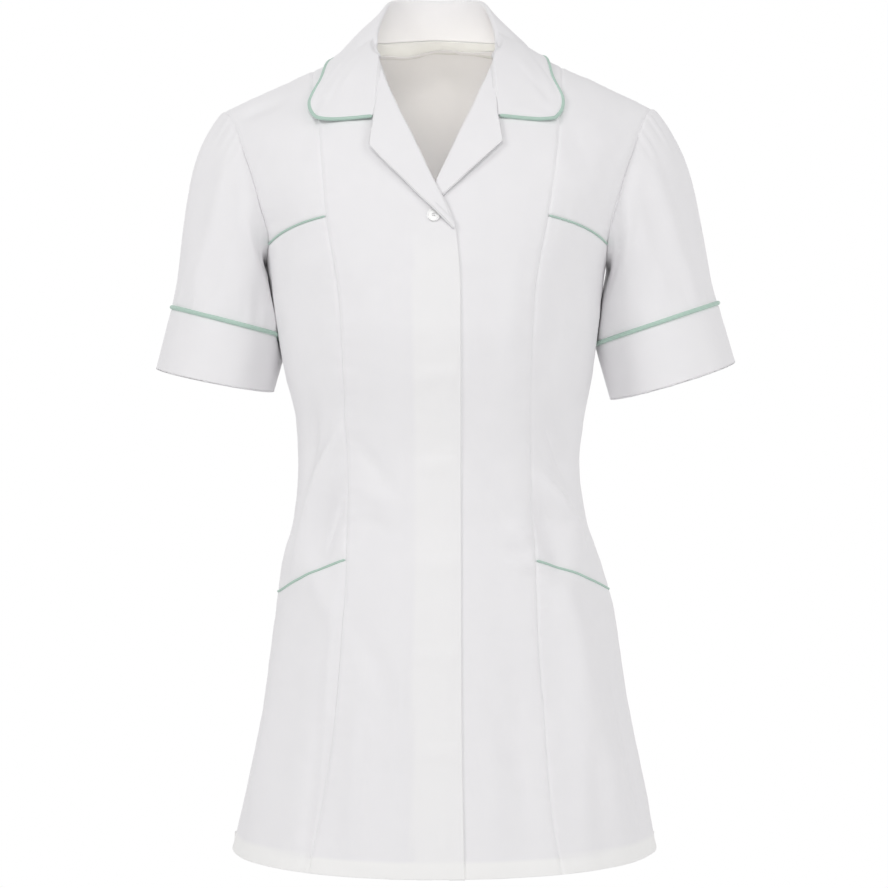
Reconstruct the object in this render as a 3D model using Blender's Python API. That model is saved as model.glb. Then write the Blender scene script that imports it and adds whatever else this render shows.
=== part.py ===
# A women's short-sleeved work tunic, in its worn shape and empty. Metres, +Z up.
# The front faces -Y and the wearer's left is +X. The origin is on the centre plane, level with
# the neck ends of the shoulder seams, where the wearer's shoulders hold the tunic.
from math import asin, cos, exp, hypot, pi, radians, sin, sqrt

import bmesh
import bpy
from mathutils import Vector

MM = 0.001
WALL = 1.4 * MM  # a panel of cloth with its turnings
BAND_WALL = 1.2 * MM  # reveres and the neck tape
SEAM = 0.3 * MM  # gap between two pieces at a seam
LONG_SEAM = 0.46 * MM  # the same along the princess seams, whose two sides have different rows
PIPING_RADIUS = 1.4 * MM
LAP = WALL + 0.8 * MM  # how far the right front stands out over the left one
BUTTON_RADIUS = 5.5 * MM
BUTTON_HEIGHT = 1.8 * MM
POCKET_DEPTH = 20 * MM  # how far the side front runs on behind the pocket mouth

SHOULDER_PEAK = 26 * MM  # where both shoulder lines would meet on the centre plane
SHOULDER_SLOPE = 0.45
SHOULDER_ROUND = 15 * MM
SHOULDER_TIP = 193 * MM  # half the width from tip to tip
NECK_SIDE = 64 * MM  # half the width between the neck ends of the shoulder seams
NECK_SHIFT = -2 * MM  # the neck hangs a little to the wearer's right
BACK_NECK = 9 * MM
FRONT_TURN = 120 * MM  # how far below the shoulder line the front reaches its full depth
BACK_TURN = 50 * MM
ROUNDNESS = 2.4  # 2 would make each level an ellipse
UNDERARM = -200 * MM
BACK_WAIST = -385 * MM  # the level of the seam across the back
HEM = -727 * MM
HEM_DIP = 4 * MM  # the hem is that much lower at the centre front than at the side seams
HEM_HALF = 190 * MM  # half the hem's width
PRINCESS_TOP = -24 * MM  # the princess seams leave the shoulder seams here
BUST_START = 96 * MM  # the piped bust seams leave the princess seams this far out
BUST_TOP = -166 * MM  # and at this level
BUST_FALL = 11 * MM  # how far they fall towards the armholes, before the last curve
POCKET_START = 80 * MM  # the pocket mouths leave the princess seams this far out
POCKET_TOP = -460.5 * MM
POCKET_WIDTH = 65 * MM
BUTTON_PLACE = (-3.8 * MM, -168.3 * MM)
FRONT, BACK = -1, 1
RIGHT, LEFT = -1, 1  # the wearer's


def table(columns, *rows):
    return [dict(zip(columns.split(), row)) for row in rows]


# Half widths and depths of the body at each level, in millimetres.
BODY = table(
    "level right left front back",
    (40, 240, 240, 62, 84),
    (0, 230, 230, 72, 88),
    (-50, 213, 213, 85, 97),
    (-90, 198, 198, 97, 102),
    (-124, 183.5, 183.5, 106, 104),
    (-153, 171, 171, 115, 104),
    (-184, 156.5, 155.5, 122, 102),
    (-212, 151.7, 147.5, 126.5, 99),
    (-258, 144.5, 142.7, 127, 94),
    (-300, 136.5, 137.5, 120.5, 90),
    (-340, 127.5, 130.3, 111, 87),
    (-380, 125.3, 125.6, 105, 87),
    (-425, 129, 131, 105, 93),
    (-469, 140, 145.5, 109.5, 103),
    (-512, 145.5, 157.5, 114.5, 110),
    (-588, 156, 168.8, 122, 119),
    (-674, 173, 186.5, 130, 128),
    (-735, 187, 197, 135, 133),
)

# How far each princess seam is from the centre plane.
PRINCESS = table(
    "level right left",
    (0, 112, 111),
    (-24, 112, 110),
    (-95, 103, 104),
    (-165, 96, 94),
    (-240, 84.5, 81.5),
    (-330, 80, 79),
    (-385, 78, 80),
    (-465, 79, 83.5),
    (-527, 82.7, 85.5),
    (-600, 89.3, 91),
    (-665, 99, 95.5),
    (-735, 112, 106),
)

# The inner edge of each front: neck, roll line, then the edge of the fly or the hidden edge.
FRONT_EDGE = table(
    "level right left",
    (1, -66, 62),
    (-10, -60.5, 56.5),
    (-26, -51, 47.5),
    (-60, -39.5, 34),
    (-98, -21, 16),
    (-139, -3, -3),
    (-166, 10.6, -14),
    (-186, 15.8, -17.5),
    (-230, 18.8, -18),
    (-585, 19.9, -18),
    (-735, 22.3, -18),
)

# Armholes: how far their front and back edges reach from the side plane, and how low that is.
ARMHOLE = table("side depth lean", (FRONT, 50, 0.25), (BACK, 54, 0.1))

# The cuff rings: the piping seam and the lower edge of each cuff.
CUFFS = table(
    "side ring x y z across depth tilt",
    (RIGHT, "seam", -188.5, 16, -251, 54, 58, 14.4),
    (RIGHT, "edge", -201.5, 18, -306, 54.5, 59, 12.2),
    (LEFT, "seam", 197.5, 16, -252, 58, 55, 18.5),
    (LEFT, "edge", 211.8, 18, -304.5, 59.5, 56, 16.9),
)

# Half of the collar, from the centre back to the front end of the fall, in millimetres.
COLLAR = table(
    "seam_x seam_y seam_z fold_x fold_y fold_z edge_x edge_y edge_z",
    (0, 60, 11, 0, 51.5, 45.5, 0, 79, -1),
    (31, 53, 8.5, 25, 46, 45, 43, 69, -6),
    (52, 34, 4, 40.5, 32, 41, 74, 43, -11),
    (61, 8, 2, 47, 10, 27, 91, 5, -13),
    (58.5, -15, -4.5, 52, -10, 8, 100, -40, -38),
    (55.5, -29, -11, 53, -26, -7, 109.5, -60, -61),
    (53.5, -36, -15.2, 52.5, -34, -12, 106, -73, -76),
    (52, -43, -18.7, 51.5, -41, -16, 95, -80, -81.5),
    (50.5, -50, -22.2, 50, -47.5, -20.5, 53.8, -88, -80),
)

# Reveres: the roll line and the free edge, as places on the front, in millimetres.
REVERES = {
    RIGHT: table(
        "roll_x roll_z edge_x edge_z",
        (-50.6, -27, -52, -33),
        (-47, -39, -53, -60),
        (-41, -55, -55, -81.5),
        (-31, -78, -58.7, -107),
        (-17, -107, -42, -127.5),
        (-3.5, -138, -22, -150.5),
        (7, -160, -3, -168.5),
        (13, -173, 11.5, -176),
    ),
    LEFT: table(
        "roll_x roll_z edge_x edge_z",
        (47.2, -27, 48.4, -33),
        (43, -38, 49.2, -59),
        (37, -51, 50.2, -79.5),
        (29.5, -69, 54.4, -103),
        (19.5, -90, 38, -119),
        (8, -115, 21, -135.5),
        (-3, -139, 3, -152),
        (-8, -150, -6, -155),
    ),
}

# The largest folds of the body: soft ridges, or troughs where the height is below zero.
FOLDS = table(
    "side x0 z0 x1 z1 width height",
    (FRONT, -86, -352, -122, -436, 9, 3.2),
    (FRONT, -74, -378, -108, -452, 10, -2.4),
    (FRONT, 92, -392, 124, -458, 9, 3.0),
    (FRONT, 84, -410, 108, -478, 9, -2.2),
    (FRONT, -176, -72, -138, -58, 7, -2.5),
    (FRONT, -128, -560, -146, -700, 14, 3.0),
    (FRONT, 136, -560, 158, -700, 15, 3.2),
    (BACK, -104, -330, -52, -392, 12, 3.0),
    (BACK, 106, -338, 58, -400, 12, 2.8),
    (BACK, -96, -540, -124, -705, 18, 4.0),
    (BACK, 92, -540, 112, -705, 18, 4.0),
    (BACK, 0, -560, 4, -712, 20, 3.0),
)

CLOTH_WHITE = (0.88, 0.88, 0.89, 1)
PIPING_GREEN = (0.40, 0.64, 0.53, 1)
BUTTON_WHITE = (0.90, 0.90, 0.89, 1)


def curve_through(rows, key, value, scale=MM):
    """A smooth curve through one column of a table, which never overshoots its rows."""
    knots = sorted((row[key] * scale, row[value] * scale) for row in rows)
    spans = [(b[0] - a[0], (b[1] - a[1]) / (b[0] - a[0])) for a, b in zip(knots, knots[1:])]
    slopes = [spans[0][1]]
    for (before, rise), (after, next_rise) in zip(spans, spans[1:]):
        turns = rise * next_rise <= 0
        slopes.append(0 if turns else (before + after) / (before / rise + after / next_rise))
    slopes.append(spans[-1][1])

    def at(place):
        place = min(max(place, knots[0][0]), knots[-1][0])
        i = max(k for k in range(len(spans)) if knots[k][0] <= place)
        span = spans[i][0]
        t = (place - knots[i][0]) / span
        start, end = knots[i][1], knots[i + 1][1]
        eased = t * t * (3 - 2 * t)
        lean = t * (1 - t) * span * ((1 - t) * slopes[i] - t * slopes[i + 1])
        return start + (end - start) * eased + lean

    return at


HANDS = ((RIGHT, "right"), (LEFT, "left"))
FACES = ((FRONT, "front"), (BACK, "back"))
half_width = {side: curve_through(BODY, "level", name) for side, name in HANDS}
half_depth = {side: curve_through(BODY, "level", name) for side, name in FACES}
princess_at = {side: curve_through(PRINCESS, "level", name) for side, name in HANDS}
front_edge_at = {side: curve_through(FRONT_EDGE, "level", name) for side, name in HANDS}


def smooth_step(start, end, value):
    t = min(max((value - start) / (end - start), 0), 1)
    return t * t * (3 - 2 * t)


def mix(a, b, t):
    return a + (b - a) * t


def shoulder_at(x):
    """Height of the shoulder line."""
    return SHOULDER_PEAK - SHOULDER_SLOPE * hypot(x, SHOULDER_ROUND)


def shoulder_bow(start, end, t):
    """How far the shoulder line stands above its chord between two places."""
    return shoulder_at(mix(start, end, t)) - mix(shoulder_at(start), shoulder_at(end), t)


def hem_at(x):
    return HEM + HEM_DIP * min(abs(x) / HEM_HALF, 1) ** 2


def fullness(x, z, side):
    """Share of the full depth that the body has here, squared: it falls to 0 at its side and shoulder."""
    across = 1 - (abs(x) / half_width[RIGHT if x < 0 else LEFT](z)) ** ROUNDNESS
    turn = FRONT_TURN if side == FRONT else BACK_TURN
    over = max(0, 1 - (shoulder_at(x) - z) / turn)
    share = across * (1 - over * over)
    return -share if across < 0 and over > 1 else share


def outside(point):
    """Below 0 inside the body's surface, 0 on it and above 0 outside."""
    x, y, z = point
    side = FRONT if y < 0 else BACK
    return (y / half_depth[side](z)) ** 2 - fullness(x, z, side)


def slope_of(point):
    step = 0.02 * MM
    return Vector(
        (outside(point + axis * step) - outside(point - axis * step)) / (2 * step)
        for axis in (Vector((1, 0, 0)), Vector((0, 1, 0)), Vector((0, 0, 1)))
    )


def normal_at(point):
    return slope_of(point).normalized()


def fold_height(x, z, side):
    """How far the folds lift the cloth here."""
    height = 0
    for fold in FOLDS:
        if fold["side"] != side:
            continue
        start = Vector((fold["x0"], fold["z0"])) * MM
        run = Vector((fold["x1"], fold["z1"])) * MM - start
        from_start = Vector((x, z)) - start
        along = from_start.dot(run) / run.length_squared
        away = abs(from_start.cross(run)) / run.length / (fold["width"] * MM)
        ends = smooth_step(-0.25, 0.35, along) * smooth_step(1.25, 0.65, along)
        height += fold["height"] * MM * ends * exp(-away * away)
    return height


def on_body(x, z, side, lift=0):
    """A point of the cloth's middle and its outward direction, by its place seen from the front."""
    z = min(z, shoulder_at(x) - 1e-6)
    depth = half_depth[side](z) * sqrt(max(fullness(x, z, side), 0))
    point = Vector((x, side * max(depth, SEAM / 2), z))
    out = normal_at(point)
    return point + out * (lift + fold_height(x, z, side)), out


def kept_clear(point, margin):
    """The point, moved out where it is nearer to the body's surface than the margin."""
    for _ in range(4):
        slope = slope_of(point)
        distance = outside(point) / slope.length
        if distance < margin:
            point = point + slope.normalized() * (margin - distance)
    return point


def steps(count):
    return [i / count for i in range(count + 1)]


def down(share):
    """Levels lie closer together near the top, where the cloth turns over the shoulder."""
    return share * share / (share + 0.12) * 1.12


def material(name, colour, roughness):
    made = bpy.data.materials.new(name)
    made.use_nodes = True
    shader = made.node_tree.nodes["Principled BSDF"]
    shader.inputs["Base Color"].default_value = colour
    shader.inputs["Roughness"].default_value = roughness
    shader.inputs["Metallic"].default_value = 0
    return made


def add_object(name, mesh, colour, roughness=0.85):
    mesh.materials.append(material(name, colour, roughness))
    made = bpy.data.objects.new(name, mesh)
    bpy.context.scene.collection.objects.link(made)
    return made


def grid_directions(points, wrap):
    """Outward direction at each point of a grid, from its neighbours."""
    rows, columns = len(points), len(points[0])
    found = []
    for r in range(rows):
        line = []
        for c in range(columns):
            if wrap:
                before, after = (c - 1) % (columns - 1), (c + 1) % (columns - 1)
            else:
                before, after = max(c - 1, 0), min(c + 1, columns - 1)
            across = points[r][after] - points[r][before]
            along = points[min(r + 1, rows - 1)][c] - points[max(r - 1, 0)][c]
            line.append(across.cross(along).normalized())
        found.append(line)
    return found


def add_cloth(name, points, out=None, wall=WALL, wrap=False, colour=CLOTH_WHITE):
    """A closed wall of cloth. points[row][column] is its middle, and out says which way is outward."""
    out = out or grid_directions(points, wrap)
    columns = len(points[0])
    bm = bmesh.new()
    inward = bm.verts.layers.float_vector.new("inward")
    bmesh.ops.create_grid(bm, x_segments=columns - 1, y_segments=len(points) - 1, size=1)
    for index, vert in enumerate(bm.verts):
        row, column = divmod(index, columns)
        column = column % (columns - 1) if wrap else column
        vert.co = points[row][column] + out[row][column] * (wall / 2)
        vert[inward] = out[row][column] * -wall
    if wrap:
        bmesh.ops.remove_doubles(bm, verts=bm.verts, dist=1e-6)
    inner = bmesh.ops.extrude_face_region(bm, geom=bm.faces[:], use_keep_orig=True)["geom"]
    for vert in inner:
        if isinstance(vert, bmesh.types.BMVert):
            vert.co += Vector(vert[inward])
    bmesh.ops.recalc_face_normals(bm, faces=bm.faces)
    if bm.calc_volume(signed=True) < 0:
        bmesh.ops.reverse_faces(bm, faces=bm.faces)
    bmesh.ops.triangulate(bm, faces=bm.faces)
    mesh = bpy.data.meshes.new(name)
    bm.to_mesh(mesh)
    bm.free()
    mesh.shade_smooth()
    mesh.set_sharp_from_angle(angle=radians(50))
    return add_object(name, mesh, colour)


def add_piping(name, points, closed=False):
    curve = bpy.data.curves.new(name, "CURVE")
    curve.dimensions = "3D"
    curve.bevel_depth = PIPING_RADIUS
    curve.bevel_resolution = 1
    curve.use_fill_caps = True
    line = curve.splines.new("POLY")
    line.points.add(len(points) - 1)
    for place, point in zip(line.points, points):
        place.co = (*point, 1)
    line.use_cyclic_u = closed
    return add_object(name, curve, PIPING_GREEN)


def right_front_lift(x, z):
    """The right front stands out over the left one, and a little more over the left revere."""
    over_left = smooth_step(-62 * MM, -30 * MM, x)
    over_revere = 2.3 * MM * exp(-(((z + 146 * MM) / (24 * MM)) ** 2))
    return over_left * (LAP + over_revere)


def add_front(side, name):
    """Centre front: shoulder seam, neck and front edge, hem and princess seam."""
    columns, rows = 9, 26
    points, out = [], []
    inner_top = shoulder_at(front_edge_at[side](0))
    outer_top = shoulder_at(princess_at[side](PRINCESS_TOP) - LONG_SEAM / 2)
    for share in map(down, steps(rows)):
        inner_z, outer_z = (mix(top, HEM, share) for top in (inner_top, outer_top))
        inner_x = front_edge_at[side](inner_z)
        outer_x = side * (princess_at[side](outer_z) - LONG_SEAM / 2)
        line = []
        for t in steps(columns):
            x = mix(inner_x, outer_x, t)
            z = mix(inner_z, outer_z, t) + share * (hem_at(x) - HEM)
            z += shoulder_bow(inner_x, outer_x, t) * (1 - smooth_step(0, 0.2, share))
            lift = right_front_lift(x, z) if side == RIGHT else 0
            line.append(on_body(x, z, FRONT, lift))
        points.append([point for point, _ in line])
        out.append([direction for _, direction in line])
    add_cloth(name, points, out)


def armhole(side, face, turn):
    """A point of the armhole's seam. turn runs from 0 at the shoulder tip to pi at the underarm."""
    shape = ARMHOLE[0] if face == FRONT else ARMHOLE[1]
    top = shoulder_at(SHOULDER_TIP)
    z = mix(top, UNDERARM, (1 - cos(turn)) / 2)
    y = face * max(shape["depth"] * MM * sin(turn) * (1 - shape["lean"] * cos(turn)), SEAM / 4)
    low, high = 0.1, 0.2
    for _ in range(40):
        x = (low + high) / 2
        low, high = (x, high) if outside((side * x, y, z)) < 0 else (low, x)
    return Vector((side * x, y, z))


def armhole_turn(z):
    return pi - 2 * asin(sqrt(min(max((z - UNDERARM) / (shoulder_at(SHOULDER_TIP) - UNDERARM), 0), 1)))


def armhole_edge(side, face, z):
    """Distance of a panel's armhole edge from the centre plane."""
    return abs(armhole(side, face, armhole_turn(z)).x)


ARM_STEPS = 14  # rows and columns that meet at the armhole, from shoulder tip to underarm
ARM_TURNS = [pi * k / ARM_STEPS for k in range(ARM_STEPS + 1)]
BUST_STEP = 11  # the bust seam runs into the armhole at this one of them
bust_end = {side: armhole(side, FRONT, ARM_TURNS[BUST_STEP]) for side in (RIGHT, LEFT)}


def bust_seam(side, x):
    """Height of the piped seam from the princess seam to the armhole."""
    end = bust_end[side]
    t = (x - BUST_START) / (abs(end.x) - BUST_START)
    return BUST_TOP - BUST_FALL * t + (end.z - BUST_TOP + BUST_FALL) * t**3


def pocket_line(side, x):
    """Height of the piped pocket mouth."""
    t = (x - POCKET_START) / POCKET_WIDTH
    fall, bend = (22, 12) if side == RIGHT else (13, 13)
    return POCKET_TOP - (fall * t + bend * t * t) * MM


def add_side_front_upper(side, name):
    columns = 7
    inner_top = shoulder_at(princess_at[side](PRINCESS_TOP) + LONG_SEAM / 2)
    room = PIPING_RADIUS + 2 * SEAM
    inner_low = bust_seam(side, princess_at[side](BUST_TOP)) + room
    turns = ARM_TURNS[:BUST_STEP] + [armhole_turn(bust_end[side].z + room)]
    points, out = [], []
    for turn in turns:
        share = (1 - cos(turn)) / (1 - cos(turns[-1]))
        inner_z = mix(inner_top, inner_low, share)
        edge = armhole(side, FRONT, turn)
        inner_x = princess_at[side](inner_z) + LONG_SEAM / 2
        line = []
        for t in steps(columns):
            x = mix(inner_x, abs(edge.x), t)
            chord = mix(bust_seam(side, inner_x), bust_seam(side, abs(edge.x)), t)
            curve = (bust_seam(side, x) - chord) * smooth_step(0.45, 1, share)
            curve += shoulder_bow(inner_x, abs(edge.x), t) * (1 - smooth_step(0, 0.3, share))
            line.append(on_body(side * x, mix(inner_z, edge.z, t) + curve, FRONT))
        points.append([point for point, _ in line])
        out.append([direction for _, direction in line])
    add_cloth(name, points, out)


def side_place(side, share, z):
    """A place on the side front, share 0 at the princess seam and 1 at the side seam."""
    half = half_width[side](z)
    start = asin((princess_at[side](z) + LONG_SEAM / 2) / half)
    return half * sin(mix(start, pi / 2, share))


def side_share(side, x, z):
    """The reverse of side_place."""
    half = half_width[side](z)
    start = asin((princess_at[side](z) + LONG_SEAM / 2) / half)
    return (asin(min(x / half, 1)) - start) / (pi / 2 - start)


def seam_level(side, share, height_at):
    """Height of a seam at a share of the side front's width."""
    z = height_at(side, POCKET_START)
    for _ in range(10):
        z = height_at(side, side_place(side, share, z))
    return z


def middle_top(side):
    """Shares and levels along the middle side front's top edge: the bust seam, then the armhole."""
    first_turn = armhole_turn(bust_end[side].z - PIPING_RADIUS - SEAM)
    end = armhole(side, FRONT, first_turn)
    last = side_share(side, abs(end.x), end.z)
    found = []
    for t in steps(6)[:-1]:
        z = seam_level(side, last * t, bust_seam)
        found.append((last * t, z - PIPING_RADIUS - SEAM))
    for turn in [first_turn] + ARM_TURNS[BUST_STEP + 1 :]:
        edge = armhole(side, FRONT, turn)
        found.append((side_share(side, abs(edge.x), edge.z) if turn < pi else 1, edge.z))
    return found


def add_side_front_middle(side, name):
    """From bust seam to pocket mouth, and on behind the pocket mouth."""
    # Share of the way down, height over the pocket mouth, and share of the way in behind it.
    levels = [(share, 16 * MM, 0) for share in steps(11)]
    levels += [(1, 9 * MM, 0.5), (1, 2 * MM, 1), (1, -POCKET_DEPTH, 1)]
    points, out = [], []
    for fall, over, tuck in levels:
        line = []
        for share, top in middle_top(side):
            low = seam_level(side, share, pocket_line) + PIPING_RADIUS + SEAM
            z = mix(top, low + over, fall)
            lift = -(WALL + 2.6 * SEAM) * tuck
            line.append(on_body(side * side_place(side, share, z), z, FRONT, lift))
        points.append([point for point, _ in line])
        out.append([direction for _, direction in line])
    add_cloth(name, points, out)


def add_side_front_lower(side, name):
    columns, rows = 8, 9
    points, out = [], []
    for fall in steps(rows):
        line = []
        for share in steps(columns):
            top = seam_level(side, share, pocket_line) - PIPING_RADIUS - SEAM
            z = mix(top, hem_at(side_place(side, share, HEM)), fall)
            line.append(on_body(side * side_place(side, share, z), z, FRONT))
        points.append([point for point, _ in line])
        out.append([direction for _, direction in line])
    add_cloth(name, points, out)


def back_edge(side, z):
    if z >= shoulder_at(SHOULDER_TIP):
        return SHOULDER_TIP
    return armhole_edge(side, BACK, z) if z > UNDERARM else half_width[side](z)


def back_top(x):
    """Top edge of the back: the shoulder seams, and the neck between them."""
    inside_neck = max(0, 1 - ((x - NECK_SHIFT) / NECK_SIDE) ** 2)
    return min(shoulder_at(x) - 1e-6, mix(0, BACK_NECK, inside_neck**1.2) if inside_neck else 1)


def back_places():
    """Columns of the back from its right edge at -1 to its left edge at 1, closer together at the edges."""
    beside_neck = NECK_SIDE / SHOULDER_TIP
    turn = asin(beside_neck)
    places = [t * beside_neck for t in steps(5)] + [sin(mix(turn, pi / 2, t)) for t in steps(7)[1:]]
    return [-t for t in reversed(places[1:])] + places


def back_level(place, share):
    """Height of a row of the back that runs from edge to edge of the armholes."""
    return mix(back_top(place * SHOULDER_TIP), hem_at(place * SHOULDER_TIP), share)


def add_back(name, level_at, rows):
    points, out = [], []
    for row in rows:
        line = []
        for place in back_places():
            z = level_at(place, row)
            side = RIGHT if place < 0 else LEFT
            line.append(on_body(place * back_edge(side, z), z, BACK))
        points.append([point for point, _ in line])
        out.append([direction for _, direction in line])
    add_cloth(name, points, out)


def add_back_upper(name):
    """From the shoulder and neck seams to the waist seam."""
    tip = shoulder_at(SHOULDER_TIP)
    armhole_share = (tip - UNDERARM) / (tip - hem_at(SHOULDER_TIP))

    def level_at(place, row):
        at_armhole = back_level(place, min(row, 1) * armhole_share)
        return mix(at_armhole, BACK_WAIST + SEAM / 2, max(row - 1, 0))

    rows = [(1 - cos(turn)) / 2 for turn in ARM_TURNS] + [1 + t for t in steps(6)[1:]]
    add_back(name, level_at, rows)


def add_back_lower(name):
    """From the waist seam to the hem."""
    waist = BACK_WAIST - SEAM / 2
    add_back(name, lambda place, row: mix(waist, hem_at(place * SHOULDER_TIP), row), steps(9))


def cuff_ring(side, ring, angle):
    """A point of a cuff ring. The angle is 0 at the outer side and a quarter turn at the front."""
    row = next(r for r in CUFFS if r["side"] == side and r["ring"] == ring)
    tilt = radians(row["tilt"])
    outer = Vector((side * cos(tilt), 0, sin(tilt)))
    centre = Vector((row["x"], row["y"], row["z"])) * MM
    front = Vector((0, -row["depth"] * MM * sin(angle), 0))
    return centre + outer * (row["across"] * MM * cos(angle)) + front


def sleeve_axis(side):
    tilt = radians(14.4 if side == RIGHT else 18)
    return Vector((side * sin(tilt), 0, -cos(tilt)))


def sleeve_point(side, angle, share):
    """A point of the sleeve, from the armhole seam at share 0 to the cuff seam at share 1."""
    face = FRONT if angle <= pi else BACK
    turn = angle if angle <= pi else 2 * pi - angle
    start = armhole(side, face, turn)
    step = 0.02
    ahead = armhole(side, face, min(turn + step, pi)) - armhole(side, face, max(turn - step, 0))
    out = normal_at(start)
    into_hole = out.cross(ahead).normalized() * (-face * side)
    axis = sleeve_axis(side)
    low = (1 - cos(turn)) / 2
    start = start + into_hole * (WALL / 2 + SEAM * 1.3)
    leave = into_hole * mix(0.55, 0.0, low) + out * mix(0.12, 1.0, low) + axis * mix(0.75, 0.1, low)
    leave = leave * mix(0.17, 0.045, low)
    end = cuff_ring(side, "seam", angle)
    arrive = axis * mix(0.16, 0.10, low)
    t = share
    point = (
        start * (1 - t) ** 2 * (1 + 2 * t)
        + leave * t * (1 - t) ** 2
        + end * t * t * (3 - 2 * t)
        - arrive * t * t * (1 - t)
    )
    return kept_clear(point, 2.4 * MM * smooth_step(0, 0.16, share))


def add_sleeve(side, name):
    columns, rows = 2 * ARM_STEPS, 10
    points = []
    for share in steps(rows):
        share = mix(0, 1 - 0.012, share**1.25)
        points.append([sleeve_point(side, side_angle(side, t), share) for t in steps(columns)])
    add_cloth(name, points, wrap=True)


def side_angle(side, t):
    return 2 * pi * (t if side == LEFT else 1 - t)


def cuff_point(side, angle, share):
    point = cuff_ring(side, "seam", angle).lerp(cuff_ring(side, "edge", angle), share)
    return kept_clear(point, 2.8 * MM)


def add_cuff(side, name):
    columns, rows = 28, 2
    points = []
    for share in steps(rows):
        share = mix(0.05, 1, share)
        points.append([cuff_point(side, side_angle(side, t), share) for t in steps(columns)])
    add_cloth(name, points, wrap=True)


def add_piping_on_cuff(side, name):
    columns = 28
    add_piping(name, [cuff_point(side, 2 * pi * t / columns, 0.01) for t in range(columns)], closed=True)


def add_piping_on_body(side, name, height_at, last):
    """Piping along a seam of the side front, from the princess seam to a share of the width."""
    points = []
    for t in steps(10):
        share = mix(0.01, last, t)
        level = seam_level(side, share, height_at)
        points.append(on_body(side * side_place(side, share, level), level, FRONT, 0.5 * MM)[0])
    add_piping(name, points)


def collar_point(t, part):
    side = RIGHT if t < 0 else LEFT
    rows = len(COLLAR) - 1
    place = abs(t) * rows
    i = min(int(place), rows - 1)
    share = place - i
    found = []
    for axis in "xyz":
        column = f"{part}_{axis}"
        ends = [COLLAR[min(max(k, 0), rows)][column] for k in (i - 1, i, i + 1, i + 2)]
        if i == 0:
            ends[0] = -COLLAR[1][column] if axis == "x" else COLLAR[1][column]
        if i == rows - 1:
            ends[3] = 2 * ends[2] - ends[1]
        a, b, c, d = ends
        found.append(
            b
            + share * (c - a) / 2
            + share**2 * (a - 2.5 * b + 2 * c - d / 2)
            + share**3 * (1.5 * b - 1.5 * c + (d - a) / 2)
        )
    x, y, z = found
    return Vector((side * x, y, z)) * MM + Vector((NECK_SHIFT, 0, 0))


def collar_section(t, count):
    """Across the collar: up the stand, over the fold and down the fall to its edge."""
    seam, fold, edge = (collar_point(t, part) for part in ("seam", "fold", "edge"))
    stand = fold - seam
    away = (edge - fold).normalized()
    across = (away - stand.normalized() * away.dot(stand.normalized())).normalized()
    radius = 1.9 * MM
    crown = fold + across * radius
    line = [seam.lerp(fold, share) for share in (0, 0.33, 0.66)]
    line += [fold, crown + stand.normalized() * radius - across * radius * 0.2]
    start = fold + across * (2 * radius)
    for share in steps(count):
        point = start.lerp(edge, share)
        bow = 1.0 * MM * sin(pi * share)
        point = point + Vector((0, 0, bow))
        line.append(kept_clear(point, mix(6, 2.4, share) * MM))
    return line


def add_collar(name):
    half = 22
    places = [-t for t in reversed(steps(half)[1:])] + steps(half)
    points = [collar_section(t, 6) for t in places]
    add_cloth(name, [list(reversed(line)) for line in points])


def add_piping_on_collar(name):
    half = 26
    places = [-t for t in reversed(steps(half)[1:])] + steps(half)
    edge = [collar_section(t, 6)[-1] for t in places]
    points = []
    for i, point in enumerate(edge):
        along = edge[min(i + 1, len(edge) - 1)] - edge[max(i - 1, 0)]
        beyond = along.cross(normal_at(point)).normalized()
        points.append(kept_clear(point - beyond * (PIPING_RADIUS + 1.4 * SEAM), 2.9 * MM))
    add_piping(name, points)


def revere_point(side, along, across):
    rows = REVERES[side]
    place = along * (len(rows) - 1)
    i = min(int(place), len(rows) - 2)
    low, high = rows[i], rows[i + 1]
    values = {key: mix(low[key], high[key], place - i) * MM for key in low}
    x = mix(values["roll_x"], values["edge_x"], across)
    z = mix(values["roll_z"], values["edge_z"], across)
    lift = WALL / 2 + SEAM + BAND_WALL / 2 + 0.1 * MM
    spring = sin(pi * min(along * 1.15, 1)) * (1.2 * MM + 1.6 * MM * across)
    if side == RIGHT:
        from_button = Vector((x - BUTTON_PLACE[0], z - BUTTON_PLACE[1])).length
        lift += right_front_lift(x, z)
        spring += 2.4 * MM * exp(-((from_button / (11.5 * MM)) ** 2))
    return on_body(x, z, FRONT, lift + spring)


def add_revere(side, name):
    rows, columns = 14, 4
    points, out = [], []
    for along in steps(rows):
        line = [revere_point(side, along, across) for across in steps(columns)]
        points.append([point for point, _ in line])
        out.append([direction for _, direction in line])
    add_cloth(name, points, out, BAND_WALL)


def add_neck_tape(name):
    """The tape inside the back neck, just below the seam of collar and back."""
    columns = 16
    lift = -(WALL + BAND_WALL) / 2 - 2.5 * SEAM
    points, out = [], []
    for drop in (0.3 * MM, 3.8 * MM, 7.5 * MM):
        line = []
        for t in steps(columns):
            x = mix(-50 * MM, 46 * MM, t)
            line.append(on_body(x, back_top(x) - drop, BACK, lift))
        points.append([point for point, _ in line])
        out.append([direction for _, direction in line])
    add_cloth(name, points, out, BAND_WALL)


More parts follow.
